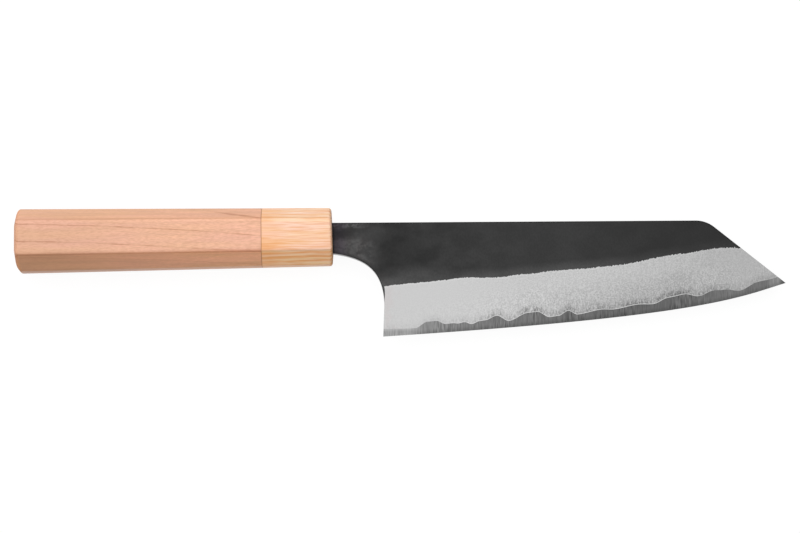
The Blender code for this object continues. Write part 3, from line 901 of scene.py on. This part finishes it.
def product(tree, *factors):
    """All factors multiplied. A factor in brackets is a fade: it goes to ramp, from value to high."""
    parts = [ramp(tree, *factor) if isinstance(factor, tuple) else factor for factor in factors]
    result = parts[0]
    for part in parts[1:]:
        result = add_node(tree, MATH, MULTIPLY, {0: result, 1: part})
    return result


def distance(tree, name):
    """A distance in mm that mark_heights stored in the mesh."""
    return add_node(tree, "ShaderNodeAttribute", {"attribute_name": name}, {}).outputs["Fac"]


def facing(tree, axis):
    """One where the surface faces along the axis, either way, and zero where it lies along it."""
    coords = add_node(tree, "ShaderNodeTexCoord", {}, {})
    parts = add_node(tree, "ShaderNodeSeparateXYZ", {}, {0: coords.outputs["Normal"]})
    return add_node(tree, MATH, ABSOLUTE, {0: parts.outputs[axis]})


def dress(item, finish):
    """Gives a piece its finish and nothing else."""
    item.data.materials.clear()
    item.data.materials.append(finish)
    print(item.name, "wears", finish.name)


# %% [markdown]
# The claddings are soft iron. Above the grind line they keep the black scale of the forge, an oxide
# that is nearly matt. Its lower border is ragged, and a tongue of it runs down the choil. To the eye it
# is a cloudy near-black: lighter in a band over its border, darker above the heel, darkest along the
# outline, where painted shade stands for the eased edges turning from the light, and rubbed to pale
# specks and smudges on the neck, where fingers and tools wear it. A picture of scale could be laid on,
# but noise in real millimetres shows no picture's edges and fits both sides of the blade.


# %% Forge scale
SCALE_GREY = grey("303030")     # the clean oxide
RUBBED_GREY = grey("5d5d5d")    # where it is worn thin
HEEL_TEETH = 0.8                # reach of the ragged border's teeth near the heel, mm
TIP_TEETH = 1.3                 # and towards the tip
BORDER_WANDER = 0.35            # slower wander of that border, mm


def height_over_border(tree, knife, along):
    """Distance in mm above the ragged border: its marks, fine teeth and a slow wander."""
    teeth = stretched_noise(tree, knife, (2.2, 0.4, 0.4))
    wander = stretched_noise(tree, knife, (0.3, 0.2, 0.2))
    reach = ramp(tree, along, 40.0, 110.0, HEEL_TEETH, TIP_TEETH)
    height = add_node(tree, MATH, MULTIPLY_ADD, {0: teeth, 1: reach, 2: distance(tree, "above_border")})
    height = add_node(tree, MATH, MULTIPLY_ADD, {0: wander, 1: BORDER_WANDER, 2: height})
    # Noise is a half on average, so half of each reach is taken off again
    middle = ramp(tree, along, 40.0, 110.0,
                  (HEEL_TEETH + BORDER_WANDER) / 2.0, (TIP_TEETH + BORDER_WANDER) / 2.0)
    return add_node(tree, MATH, SUBTRACT, {0: height, 1: middle})


def choil_tongue(tree, along, height):
    """The black strip that the grinder left along the choil, narrower as it runs down."""
    width = product(tree, (height, -29.0, -20.0, 0.0, 1.05), (along, 24.0, 26.0, 1.0, 0.0))
    inside = add_node(tree, MATH, SUBTRACT, {0: width, 1: distance(tree, "from_outline")})
    return ramp(tree, inside, -0.05, 0.15)


def scale_clouds(tree, knife, along):
    """Soft clouds about a centimetre wide, strong at the neck and faint towards the tip."""
    cloud = ramp(tree, stretched_noise(tree, knife, (0.09, 0.13, 0.13), 4.0), 0.36, 0.64, -1.0, 1.0)
    depth = ramp(tree, along, 15.0, 80.0, 0.34, 0.09)
    return add_node(tree, MATH, MULTIPLY_ADD, {0: cloud, 1: depth, 2: 1.0})


def border_light(tree, along):
    """A lighter band over the border, where the stone has thinned the scale."""
    width = ramp(tree, along, 30.0, 50.0, 9.0, 4.5)
    most = ramp(tree, along, 30.0, 50.0, 2.5, 1.15)
    light = product(tree, (distance(tree, "above_border"), 0.0, width, most, 0.0),
                    (along, 110.0, 140.0, 1.0, 0.5))
    return add_node(tree, MATH, ADD, {0: light, 1: 1.0})


def heel_hollow(tree, along, height):
    """A darker zone above the heel."""
    dark = product(tree, (along, 11.0, 22.0, 0.0, 0.42), (along, 28.0, 46.0, 1.0, 0.0),
                   (height, 3.0, -3.0, 0.2, 1.0))
    return add_node(tree, MATH, SUBTRACT, {0: 1.0, 1: dark})


def rubbed_share(tree, knife, along, height):
    """Pale specks under the neck's spine and smudges along its underside."""
    from_outline = distance(tree, "from_outline")
    speck = ramp(tree, stretched_noise(tree, knife, (0.8, 1.0, 1.0), 3.0), 0.45, 0.62, 0.0, 0.7)
    speck = product(tree, speck, (height, 2.8, 4.4), (along, 9.0, 16.0, 1.0, 0.0),
                    (from_outline, 0.3, 0.7))
    smudge = ramp(tree, stretched_noise(tree, knife, (0.3, 0.35, 0.35), 4.0), 0.43, 0.65, 0.0, 0.6)
    smudge = product(tree, smudge, (height, 0.5, -2.5), (along, 12.0, 19.0, 1.0, 0.0),
                     (from_outline, 0.5, 1.6))
    return add_node(tree, MATH, MAXIMUM, {0: speck, 1: smudge})


def scale_tone(tree, knife, along, height):
    """Oxide grey, darkest in the ferrule's shade, behind the heel and at the tip, with painted shade at the
    outline.
    """
    lengthwise = product(tree, (along, 0.0, 1.0, 0.5, 1.0), (along, 6.0, 27.0, 1.14, 0.82),
                         (along, 40.0, 62.0, 1.0, 1.14), (along, 85.0, 150.0, 1.0, 0.62))
    fine = ramp(tree, stretched_noise(tree, knife, (1.6, 1.0, 1.0)), 0.3, 0.7, 0.92, 1.08)
    # Painted shade along the eased outline: darkest within a few tenths of a millimetre of the trimmed edge
    painted_edge_shade = ramp(tree, distance(tree, "from_outline"), 0.15, 0.7, 0.35, 1.0)
    tone = product(tree, SCALE_GREY, lengthwise, fine, painted_edge_shade, scale_clouds(tree, knife, along),
                   border_light(tree, along), heel_hollow(tree, along, height))
    return add_node(tree, MIX, NUMBERS,
                    {0: rubbed_share(tree, knife, along, height), 2: tone, 3: RUBBED_GREY})


# %% [markdown]
# Below the scale a fine stone leaves the iron a hazy grey metal. To the eye it is smooth and light at
# the heel and gets a grain further on, with short upright strokes close to the weld. A shade gathers
# over the crests of the weld line, and a bright line runs right along it, where soft iron meets hard
# steel. Just under the scale the stone's rim has rubbed the iron a little brighter. Each of these is a
# fade over a distance that the mesh carries, so all of them follow the weld line, however it runs. The
# fall from light at the heel to darker at the tip runs along the blade and is a painted reflection.


# %% Ground iron
# The fade from the heel's grey to the tip's grey is a painted reflection that dims along the blade
HEEL_IRON = grey("cdcdcd")
TIP_IRON = grey("b4b4b4")
WELD_LINE_GREY = grey("dfdfdf")


def iron_grain(tree, knife, along, above_weld):
    """An even grain with upright strokes in it, deepest low down in the middle of the blade."""
    grain = stretched_noise(tree, knife, (1.9, 1.9, 1.9))
    strokes = stretched_noise(tree, knife, (1.9, 0.5, 0.5))
    upright = ramp(tree, above_weld, 1.0, 9.0, 0.45, 0.15)
    rough = add_node(tree, MIX, NUMBERS, {0: upright, 2: grain, 3: strokes})
    rough = ramp(tree, rough, 0.3, 0.7, -1.0, 1.0)
    depth = product(tree, (along, 35.0, 95.0, 0.05, 0.25), (along, 115.0, 140.0, 1.0, 1.1),
                    (along, 150.0, 172.0, 1.0, 0.5), (above_weld, 2.0, 13.0, 1.0, 0.45))
    return add_node(tree, MATH, MULTIPLY_ADD, {0: depth, 1: rough, 2: 1.0})


def weld_shade(tree, knife, along, above_weld):
    """A speckled shade over the weld line, most of all where it stands high above the edge."""
    crest = add_node(tree, MATH, SUBTRACT, {0: distance(tree, "above_edge"), 1: above_weld})
    specks = stretched_noise(tree, knife, (1.8, 0.9, 0.9))
    shade = product(tree, (above_weld, 0.2, 3.8, 1.0, 0.0), (crest, 2.6, 5.0, 0.6, 1.0),
                    (specks, 0.35, 0.65, 0.1, 0.62), (along, 36.0, 80.0, 0.25, 1.0),
                    (along, 140.0, 170.0, 1.0, 0.5))
    return add_node(tree, MATH, SUBTRACT, {0: 1.0, 1: shade})


def bevel_level(tree, along, above_weld):
    """Between the middle of the blade and the tip, the bevel is darker low down and lighter above."""
    sunk = product(tree, (above_weld, 2.0, 15.0, 0.12, -0.05), (along, 75.0, 105.0),
                   (along, 138.0, 156.0, 1.0, 0.0))
    return add_node(tree, MATH, SUBTRACT, {0: 1.0, 1: sunk})


def iron_tone(tree, knife, along, over_border):
    """The grey of the ground iron, with the bright line where it meets the core."""
    above_weld = distance(tree, "above_weld")
    rim = product(tree, (over_border, -0.8, -0.4, 0.0, 0.07), (over_border, -0.15, -0.05, 1.0, 0.0))
    # Lighter at the heel, darker at the tip: a painted reflection
    tone = product(tree, (along, 40.0, 175.0, HEEL_IRON, TIP_IRON), bevel_level(tree, along, above_weld),
                   iron_grain(tree, knife, along, above_weld), weld_shade(tree, knife, along, above_weld),
                   add_node(tree, MATH, ADD, {0: rim, 1: 1.0}))
    line = product(tree, (above_weld, 0.12, 0.28, 1.0, 0.0), (along, 38.0, 56.0),
                   (along, 138.0, 158.0, 1.0, 0.15))
    return add_node(tree, MIX, NUMBERS, {0: line, 2: tone, 3: WELD_LINE_GREY})


# %% [markdown]
# The walls of the blade, which are its spine, choil, heel and the cut of the tip, are neither scale nor
# stone-ground: they were filed. They look like dull metal that is dark on the neck and bright on the
# choil, and along the spine it gets brighter bit by bit; the dark grey on the neck and on the first part
# of the spine is painted shade. Under the neck the eased corner is bare too.
# They could be faces with a material of their own, but an eased corner has no clear border, so the way
# that the surface faces tells them apart. One material holds scale, iron and walls, because they are
# one piece of metal: a share tells where it is scale, and that share also turns the metal off and the
# gloss down.


# %% The claddings' finish
WALL_START = 0.35               # a wall faces out of the blade's side by less than this
WALL_FADE = 0.25
UNDER_NECK_START = 0.65


def wall_share(tree, start):
    """One on the walls that face along the blade's plane, and zero on the blade's sides."""
    end = add_node(tree, MATH, ADD, {0: start, 1: WALL_FADE})
    return ramp(tree, facing(tree, "Z"), start, end, 1.0, 0.0)


def cladding_wall_tone(tree, along, height):
    """Brightest past the choil's curve, and on the spine only further on; painted shade on the neck."""
    brightest = ramp(tree, height, 0.0, 4.0, 20.5, 85.0)
    return add_node(tree, MATH, ADD, {0: ramp(tree, along, 3.0, 10.0, 0.25, 0.1),
                                      1: ramp(tree, along, 18.5, brightest, 0.0, 0.4)})


def make_cladding_finish():
    """Nearly matt black scale, hazy metal below it and dull metal on the walls."""
    made, tree, shader, knife = start_material("forge scale over ground iron")
    along, height = along_and_height(tree, knife)
    under_neck = product(tree, (along, 3.0, 9.0, 1.0, 0.0), (height, -5.0, -3.0, 1.0, 0.0))
    wall = wall_share(tree, ramp(tree, under_neck, 0.0, 1.0, WALL_START, UNDER_NECK_START))
    over_border = height_over_border(tree, knife, along)
    scaled = add_node(tree, MATH, MAXIMUM, {0: ramp(tree, over_border, -0.07, 0.07),
                                            1: choil_tongue(tree, along, height)})
    scaled = add_node(tree, MIX, NUMBERS, {0: wall, 2: scaled, 3: 0.0})
    iron = add_node(tree, MIX, NUMBERS, {0: wall, 2: iron_tone(tree, knife, along, over_border),
                                         3: cladding_wall_tone(tree, along, height)})
    tone = add_node(tree, MIX, NUMBERS, {0: scaled, 2: iron, 3: scale_tone(tree, knife, along, height)})
    # The iron at the heel is faintly pink in patches, and the scale at the ferrule faintly violet
    blotch = stretched_noise(tree, knife, (0.25, 0.15, 0.15), 3.0)
    blush = product(tree, (blotch, 0.45, 0.65), (along, 21.0, 30.0, 1.0, 0.0))
    heat = product(tree, scaled, (along, 2.5, 7.0, 1.0, 0.0))
    colour = add_node(tree, MIX, TINT, {0: blush, 6: tone, 7: linear("fffbfb")})
    colour = add_node(tree, MIX, TINT, {0: heat, 6: colour, 7: linear("f6ecff")})
    feed(tree, shader, {"Base Color": colour, "Metallic": ramp(tree, scaled, 0.0, 1.0, 1.0, 0.0),
                        "Roughness": ramp(tree, scaled, 0.0, 1.0, 0.42, 0.55)})
    shader.inputs["Specular IOR Level"].default_value = 0.22
    return made


cladding_finish = make_cladding_finish()
dress(left_cladding, cladding_finish)
dress(right_cladding, cladding_finish)

# %% [markdown]
# The core is carbon steel. Where it is bare it was ground across the edge, which leaves fine upright
# scratches, and it looks darker than the iron because it reacts with water and food. At the heel it was
# rubbed lighter and its border is soft. The very tip catches the light and then falls dark. Scratches a
# hundredth of a millimetre wide could be a bump, but it would only flicker, so they are in the tone.


# %% Core steel
# The fade from CORE_GREY to FAR_CORE_GREY is a painted reflection that dims along the blade
CORE_GREY = grey("797979")      # the bare steel 50 mm from the ferrule
FAR_CORE_GREY = grey("666666")  # and 120 mm from it
CORE_SOFT_GREY = grey("bfbfbf")  # what its soft border at the heel fades to
CORE_WALL_GREY = grey("9e9e9e")
# The darker grey below is painted shade on the neck and the first part of the spine
CORE_SPINE_GREY = grey("6c6c6c")  # its wall on the neck and the first part of the spine


def core_scratches(tree, knife, along):
    """Upright scratches, stronger in some patches than in others and calm near the tip."""
    scratch = ramp(tree, stretched_noise(tree, knife, (1.9, 0.22, 0.22)), 0.3, 0.7, -1.0, 1.0)
    patch = ramp(tree, stretched_noise(tree, knife, (0.12, 0.12, 0.12)), 0.4, 0.6, 0.14, 0.34)
    patch = product(tree, patch, (along, 140.0, 158.0, 1.0, 0.6))
    return add_node(tree, MATH, MULTIPLY_ADD, {0: scratch, 1: patch, 2: 1.0})


def core_wall_tone(tree, along, height):
    """The core's stripe on the spine has the same painted shade as the claddings near the neck."""
    dark = product(tree, (height, 0.0, 4.0), (along, 18.5, 85.0, 1.0, 0.0))
    return ramp(tree, dark, 0.0, 1.0, CORE_WALL_GREY, CORE_SPINE_GREY)


def make_core_finish():
    """Grey ground steel, sharper in its reflections than the hazy iron."""
    made, tree, shader, knife = start_material("carbon core steel, ground")
    along, height = along_and_height(tree, knife)
    heel = ramp(tree, along, 29.0, 37.0, 1.0, 0.0)
    # Its first fade, from CORE_GREY to FAR_CORE_GREY, is a painted reflection
    ground = product(tree, (along, 50.0, 120.0, CORE_GREY, FAR_CORE_GREY), (along, 34.0, 62.0, 1.35, 1.0),
                     (along, 135.0, 165.0, 1.0, 1.25))
    heel_light = add_node(tree, MATH, MULTIPLY_ADD, {0: heel, 1: 0.36, 2: 1.0})
    lower = ramp(tree, distance(tree, "above_edge"), 0.0, 2.2, 0.74, 1.04)
    lower = add_node(tree, MIX, NUMBERS, {0: heel, 2: lower, 3: 1.0})
    tip = product(tree, (along, 176.0, 179.0, 1.0, 1.5), (along, 181.0, 182.6, 1.0, 0.55))
    tone = product(tree, ground, heel_light, core_scratches(tree, knife, along), lower, tip)
    soft_border = product(tree, heel, (distance(tree, "above_weld"), -1.3, 0.1, 0.0, 0.6))
    tone = add_node(tree, MIX, NUMBERS, {0: soft_border, 2: tone, 3: CORE_SOFT_GREY})
    tone = add_node(tree, MIX, NUMBERS, {0: wall_share(tree, WALL_START), 2: tone,
                                         3: core_wall_tone(tree, along, height)})
    feed(tree, shader, {"Base Color": tone})
    shader.inputs["Metallic"].default_value = 1.0
    shader.inputs["Roughness"].default_value = 0.36
    return made


dress(forged_core, make_core_finish())

# %% [markdown]
# Wood is drawn as a tree grows. The distance from the trunk's middle, which lies outside the handle,
# tells the growth ring. The trunk runs a little askew to the handle and bends slowly, so the rings come
# out as long slanting lines on the facets and as arcs on the end. Fibres are fine spots, stretched
# along the axis. Straight bands would be easier, but they wouldn't meet at the arrises and on the end
# as real rings do. A painted highlight makes the side facet lighter just inside its upper arris, and
# painted shade darkens thin lines along the arrises, most the lower one. The bevels take painted
# sheen above and painted warm shade below as tints. The glued joint shows as a thin dark line, and the
# end grain, which drinks the oil, is darker and matt.


# %% Rings, arrises and ends
def ring_distance(tree, knife, pith, askew, bend, waviness):
    """Distance in mm from the trunk's middle, which crosses the ferrule's face at pith (y, z)."""
    place = (0.0, -pith[0], -pith[1])
    turned = add_node(tree, "ShaderNodeMapping", {},
                      {"Vector": knife, "Location": place, "Rotation": (0.0, 0.0, askew)})
    flat = add_node(tree, "ShaderNodeVectorMath", MULTIPLY, {0: turned, 1: (0.0, 1.0, 1.0)})
    radius = add_node(tree, "ShaderNodeVectorMath", {"operation": "LENGTH"}, {0: flat})
    along = along_and_height(tree, knife)[0]
    bent = add_node(tree, MATH, MULTIPLY_ADD,
                    {0: product(tree, along, along), 1: bend, 2: radius.outputs["Value"]})
    waves = stretched_noise(tree, knife, (0.035, 0.12, 0.12), 3.0)
    return add_node(tree, MATH, MULTIPLY_ADD, {0: waves, 1: waviness, 2: bent})


def beyond_arris(tree, along, height):
    """How far a point of the handle lies past the arris of its side facets, in mm."""
    growth = (FRONT_SIDE_FACET - BUTT_SIDE_FACET) / 2.0 / HANDLE_LENGTH
    half = add_node(tree, MATH, MULTIPLY_ADD, {0: along, 1: growth, 2: FRONT_SIDE_FACET / 2.0})
    return add_node(tree, MATH, SUBTRACT, {0: add_node(tree, MATH, ABSOLUTE, {0: height}), 1: half})


def painted_arris_highlight(tree, past, height):
    """A painted highlight: the side facet is a little lighter just inside its upper arris."""
    light = product(tree, (past, -1.5, -0.8, 0.0, 0.07), (past, -0.2, 0.0, 1.0, 0.0), (height, -1.0, 1.0))
    return add_node(tree, MATH, ADD, {0: light, 1: 1.0})


def facet_sheen_and_shade(tree, past, height, upper, lower):
    """Painted light as tints: sheen on the upper bevel and warm shade on the lower one."""
    bevel = ramp(tree, past, -0.1, 0.3)
    on_upper = product(tree, bevel, (height, 0.0, 1.0))
    on_lower = product(tree, bevel, (height, 0.0, -1.0))
    tint = add_node(tree, MIX, COLOURS, {0: on_upper, 6: linear("ffffff"), 7: linear(upper)})
    return add_node(tree, MIX, COLOURS, {0: on_lower, 6: tint, 7: linear(lower)})


def unmarked_share(tree, along, height, past, lower, upper, end_depth):
    """One on plain wood, less on the painted shade along the arrises, at the joint and on the end grain."""
    reach = ramp(tree, height, -1.0, 1.0, -1.2, -0.35)
    # The lines beside the arrises are painted shade; the joint and the end grain are the wood's own
    beside = ramp(tree, past, reach, 0.1, 1.0, ramp(tree, height, -1.0, 1.0, lower, upper))
    outside = ramp(tree, past, 0.3, 0.7)
    arris = add_node(tree, MATH, MAXIMUM, {0: beside, 1: outside})
    gap = add_node(tree, MATH, ADD, {0: along, 1: FERRULE_LENGTH})
    gap = add_node(tree, MATH, ABSOLUTE, {0: gap})
    return product(tree, arris, (gap, 0.1, 0.3, 0.6, 1.0), (facing(tree, "X"), 0.55, 0.92, 1.0, end_depth))


def sand_wood(tree, shader):
    """Satin along the grain, matt on the end grain, which takes no polish."""
    end = facing(tree, "X")
    feed(tree, shader, {"Roughness": ramp(tree, end, 0.1, 0.5, 0.43, 0.7),
                        "Specular IOR Level": ramp(tree, end, 0.1, 0.5, 0.5, 0.1)})


# %% [markdown]
# The body is sanded cherry: to the eye an even pinkish tan with short dark flecks, a few thin growth
# lines some millimetres apart, and slow changes from pinker to yellower wood. It is a little darker
# towards the butt, its bevels carry painted shade, most on the lower bevel at the butt, and the bevels
# have longer, calmer streaks than the side facets.


# %% Cherry
CHERRY_PITH = (-110.0, -42.4)   # the trunk's middle at the ferrule's face, mm
CHERRY_ASKEW = 0.121
CHERRY_BEND = 0.000317          # mm further from it for every square millimetre along
CHERRY_RING = 6.26              # width of a growth ring


def cherry_marks(tree, knife, along, height, past, fibre):
    """One on plain wood, less on flecks, growth lines, painted shade at the arrises, joint and end."""
    on_bevel = ramp(tree, past, -0.2, 0.2, 0.0, 0.5)
    flecks = ramp(tree, fibre, 0.44, 0.66, 1.0, 0.82)
    flecks = add_node(tree, MIX, NUMBERS, {0: on_bevel, 2: flecks, 3: 1.0})
    # Growth lines fade in and out, are faint on the spine's facet and even on the lower bevel
    strength = ramp(tree, stretched_noise(tree, knife, (0.12, 0.3, 0.3), 2.0), 0.35, 0.65, 0.42, 0.85)
    strength = ramp(tree, height, 8.6, 11.0, strength, 0.93)
    strength = ramp(tree, height, -7.2, -6.4, 0.8, strength)
    radius = ring_distance(tree, knife, CHERRY_PITH, CHERRY_ASKEW, CHERRY_BEND, 1.0)
    ring = add_node(tree, MATH, PINGPONG, {0: radius, 1: CHERRY_RING / 2.0})
    lines = ramp(tree, ring, 0.05, 0.3, strength, 1.0)
    # The painted shade along the lower arris grows darker towards the ferrule
    lower_arris = ramp(tree, along, -75.0, -35.0, 0.62, 0.42)
    return product(tree, flecks, lines, unmarked_share(tree, along, height, past, lower_arris, 0.72, 0.86))


def cherry_tone(tree, knife, along, height, past, fibre):
    """Streaks, light fibres, painted arris highlight, darker butt end, painted shade on the bevels."""
    streak = ramp(tree, stretched_noise(tree, knife, (0.03, 0.5, 0.5), 2.0), 0.3, 0.7,
                  ramp(tree, past, -0.1, 0.3, 0.96, 0.94), ramp(tree, past, -0.1, 0.3, 1.04, 1.07))
    light_fibre = add_node(tree, MATH, MULTIPLY_ADD, {0: ramp(tree, fibre, 0.44, 0.3, 0.0, 0.07),
                                                      1: ramp(tree, along, -110.0, -60.0, 0.4, 1.0), 2: 1.0})
    # Painted shade on the bevels: the lower one darker, most at the butt; the upper one lighter at the butt,
    # darker in front
    lower = product(tree, (height, -6.8, -7.6), (along, -125.0, -30.0, 0.23, 0.08))
    upper = product(tree, (height, 6.8, 7.2), (along, -125.0, -30.0, -0.05, 0.08))
    bevel_shade = add_node(tree, MATH, ADD, {0: lower, 1: upper})
    # The tone takes the painted arris highlight and the bevels' painted shade
    return product(tree, streak, light_fibre, painted_arris_highlight(tree, past, height),
                   (along, -130.0, -30.0, 0.95, 1.09), add_node(tree, MATH, SUBTRACT, {0: 1.0, 1: bevel_shade}))


def make_cherry():
    """Pinkish tan, satin, with dark flecks and thin growth lines."""
    made, tree, shader, knife = start_material("cherry, sanded")
    along, height = along_and_height(tree, knife)
    past = beyond_arris(tree, along, height)
    fibre = stretched_noise(tree, knife, (0.5, 2.6, 2.6))
    warmth = ramp(tree, stretched_noise(tree, knife, (0.02, 0.16, 0.16), 2.0), 0.35, 0.65)
    colour = add_node(tree, MIX, COLOURS, {0: warmth, 6: linear("e5b291"), 7: linear("e8b298")})
    unmarked = cherry_marks(tree, knife, along, height, past, fibre)
    # ac6c4a colours flecks, growth lines, the dark joint, the end grain and the painted shade at the arrises
    colour = add_node(tree, MIX, COLOURS, {0: unmarked, 6: linear("ac6c4a"), 7: colour})
    # The tints add painted sheen and warm shade on the bevels, then the tone with its painted light
    for shade in (facet_sheen_and_shade(tree, past, height, "fffaf0", "fff1dd"),
                  cherry_tone(tree, knife, along, height, past, fibre)):
        colour = add_node(tree, MIX, TINT, {0: 1.0, 6: colour, 7: shade})
    feed(tree, shader, {"Base Color": colour})
    sand_wood(tree, shader)
    return made


dress(cherry_body, make_cherry())

# %% [markdown]
# The ferrule is a pale softwood. Its early and late wood differ, so to the eye it is striped with soft
# orange lines on cream, strongest on the bevels, where the rings are cut across. It is yellower by the
# joint and below, where the lower bevel also takes a painted warm shade, and pinker and lighter above.


# %% Pale wood
PALE_PITH = (-3.0, -45.0)       # far behind the handle, so its rings are nearly straight
PALE_ASKEW = 0.004
PALE_RING = 1.6                 # width of a growth ring, mm


def light_wood_share(tree, knife, along, height, past, fibre):
    """How much of the light early wood shows."""
    ripple = stretched_noise(tree, knife, (0.09, 0.6, 0.6), 2.0)
    radius = add_node(tree, MATH, MULTIPLY_ADD,
                      {0: ripple, 1: 1.1, 2: ring_distance(tree, knife, PALE_PITH, PALE_ASKEW, 0.0, 0.9)})
    ring = add_node(tree, MATH, PINGPONG, {0: radius, 1: PALE_RING / 2.0})
    contrast = product(tree, (past, -0.3, 0.3, 0.25, 1.0), (height, -5.0, 0.0, 0.36, 0.24))
    share = add_node(tree, MATH, MULTIPLY_ADD, {0: ramp(tree, ring, 0.08, 0.6, -1.0, 1.0), 1: contrast,
                                                2: ramp(tree, fibre, 0.3, 0.7, 0.22, 0.84)})
    share = product(tree, share, (along, -29.0, -17.0, 0.6, 1.0))
    tilt = product(tree, (height, -5.5, 6.0, -0.13, 0.16), (past, -0.2, 0.2, 1.0, 0.0))
    return add_node(tree, MATH, ADD, {0: share, 1: tilt})


def make_pale_wood():
    """Cream and soft orange stripes, satin."""
    made, tree, shader, knife = start_material("pale softwood, sanded")
    along, height = along_and_height(tree, knife)
    past = beyond_arris(tree, along, height)
    fibre = stretched_noise(tree, knife, (0.1, 2.0, 2.0), 2.0)
    share = light_wood_share(tree, knife, along, height, past, fibre)
    colour = add_node(tree, MIX, COLOURS, {0: share, 6: linear("f4b27a"), 7: linear("ffe0c8")})
    # a8714a darkens the joint, the end grain and, as faint painted shade, the lines along the arrises
    unmarked = unmarked_share(tree, along, height, past, 0.86, 0.84, 0.85)
    colour = add_node(tree, MIX, COLOURS, {0: unmarked, 6: linear("a8714a"), 7: colour})
    streak = ramp(tree, stretched_noise(tree, knife, (0.04, 0.45, 0.45), 4.0), 0.38, 0.62)
    pink = add_node(tree, MIX, COLOURS, {0: streak, 6: linear("fffbf2"), 7: linear("fffaff")})
    # The tone carries the painted highlight inside the upper arris
    tone = product(tree, (fibre, 0.3, 0.7, 0.97, 1.03), painted_arris_highlight(tree, past, height))
    # The bevels get painted sheen and painted warm shade as tints
    for shade in (pink, facet_sheen_and_shade(tree, past, height, "fffffa", "fff5db"), tone):
        colour = add_node(tree, MIX, TINT, {0: 1.0, 6: colour, 7: shade})
    feed(tree, shader, {"Base Color": colour})
    sand_wood(tree, shader)
    return made


dress(pale_ferrule, make_pale_wood())

# %% [markdown]
# Inside the handle a slotted beech dowel holds the tang in dark set resin. Both stay as packed, because
# only their ends could ever be seen. Beech gives a plain tan with fine flecks, and resin a glossy brown
# with clouds in it.


# %% Dowel and resin
def make_inner_finish(name, per_mm, dark, light, roughness):
    """Two colours mixed by noise."""
    made, tree, shader, knife = start_material(name)
    spots = stretched_noise(tree, knife, per_mm, 3.0)
    colour = add_node(tree, MIX, COLOURS, {0: spots, 6: linear(dark), 7: linear(light)})
    feed(tree, shader, {"Base Color": colour})
    shader.inputs["Roughness"].default_value = roughness
    return made


beech = make_inner_finish("beech dowel, turned", (0.3, 1.5, 1.5), "b98c60", "e0be98", 0.6)
resin = make_inner_finish("pine resin, set", (0.4, 0.4, 0.4), "2a1a0e", "5a3c22", 0.3)
dress(nodes["handle_dowel"], beech)
dress(nodes["tang_bedding"], resin)
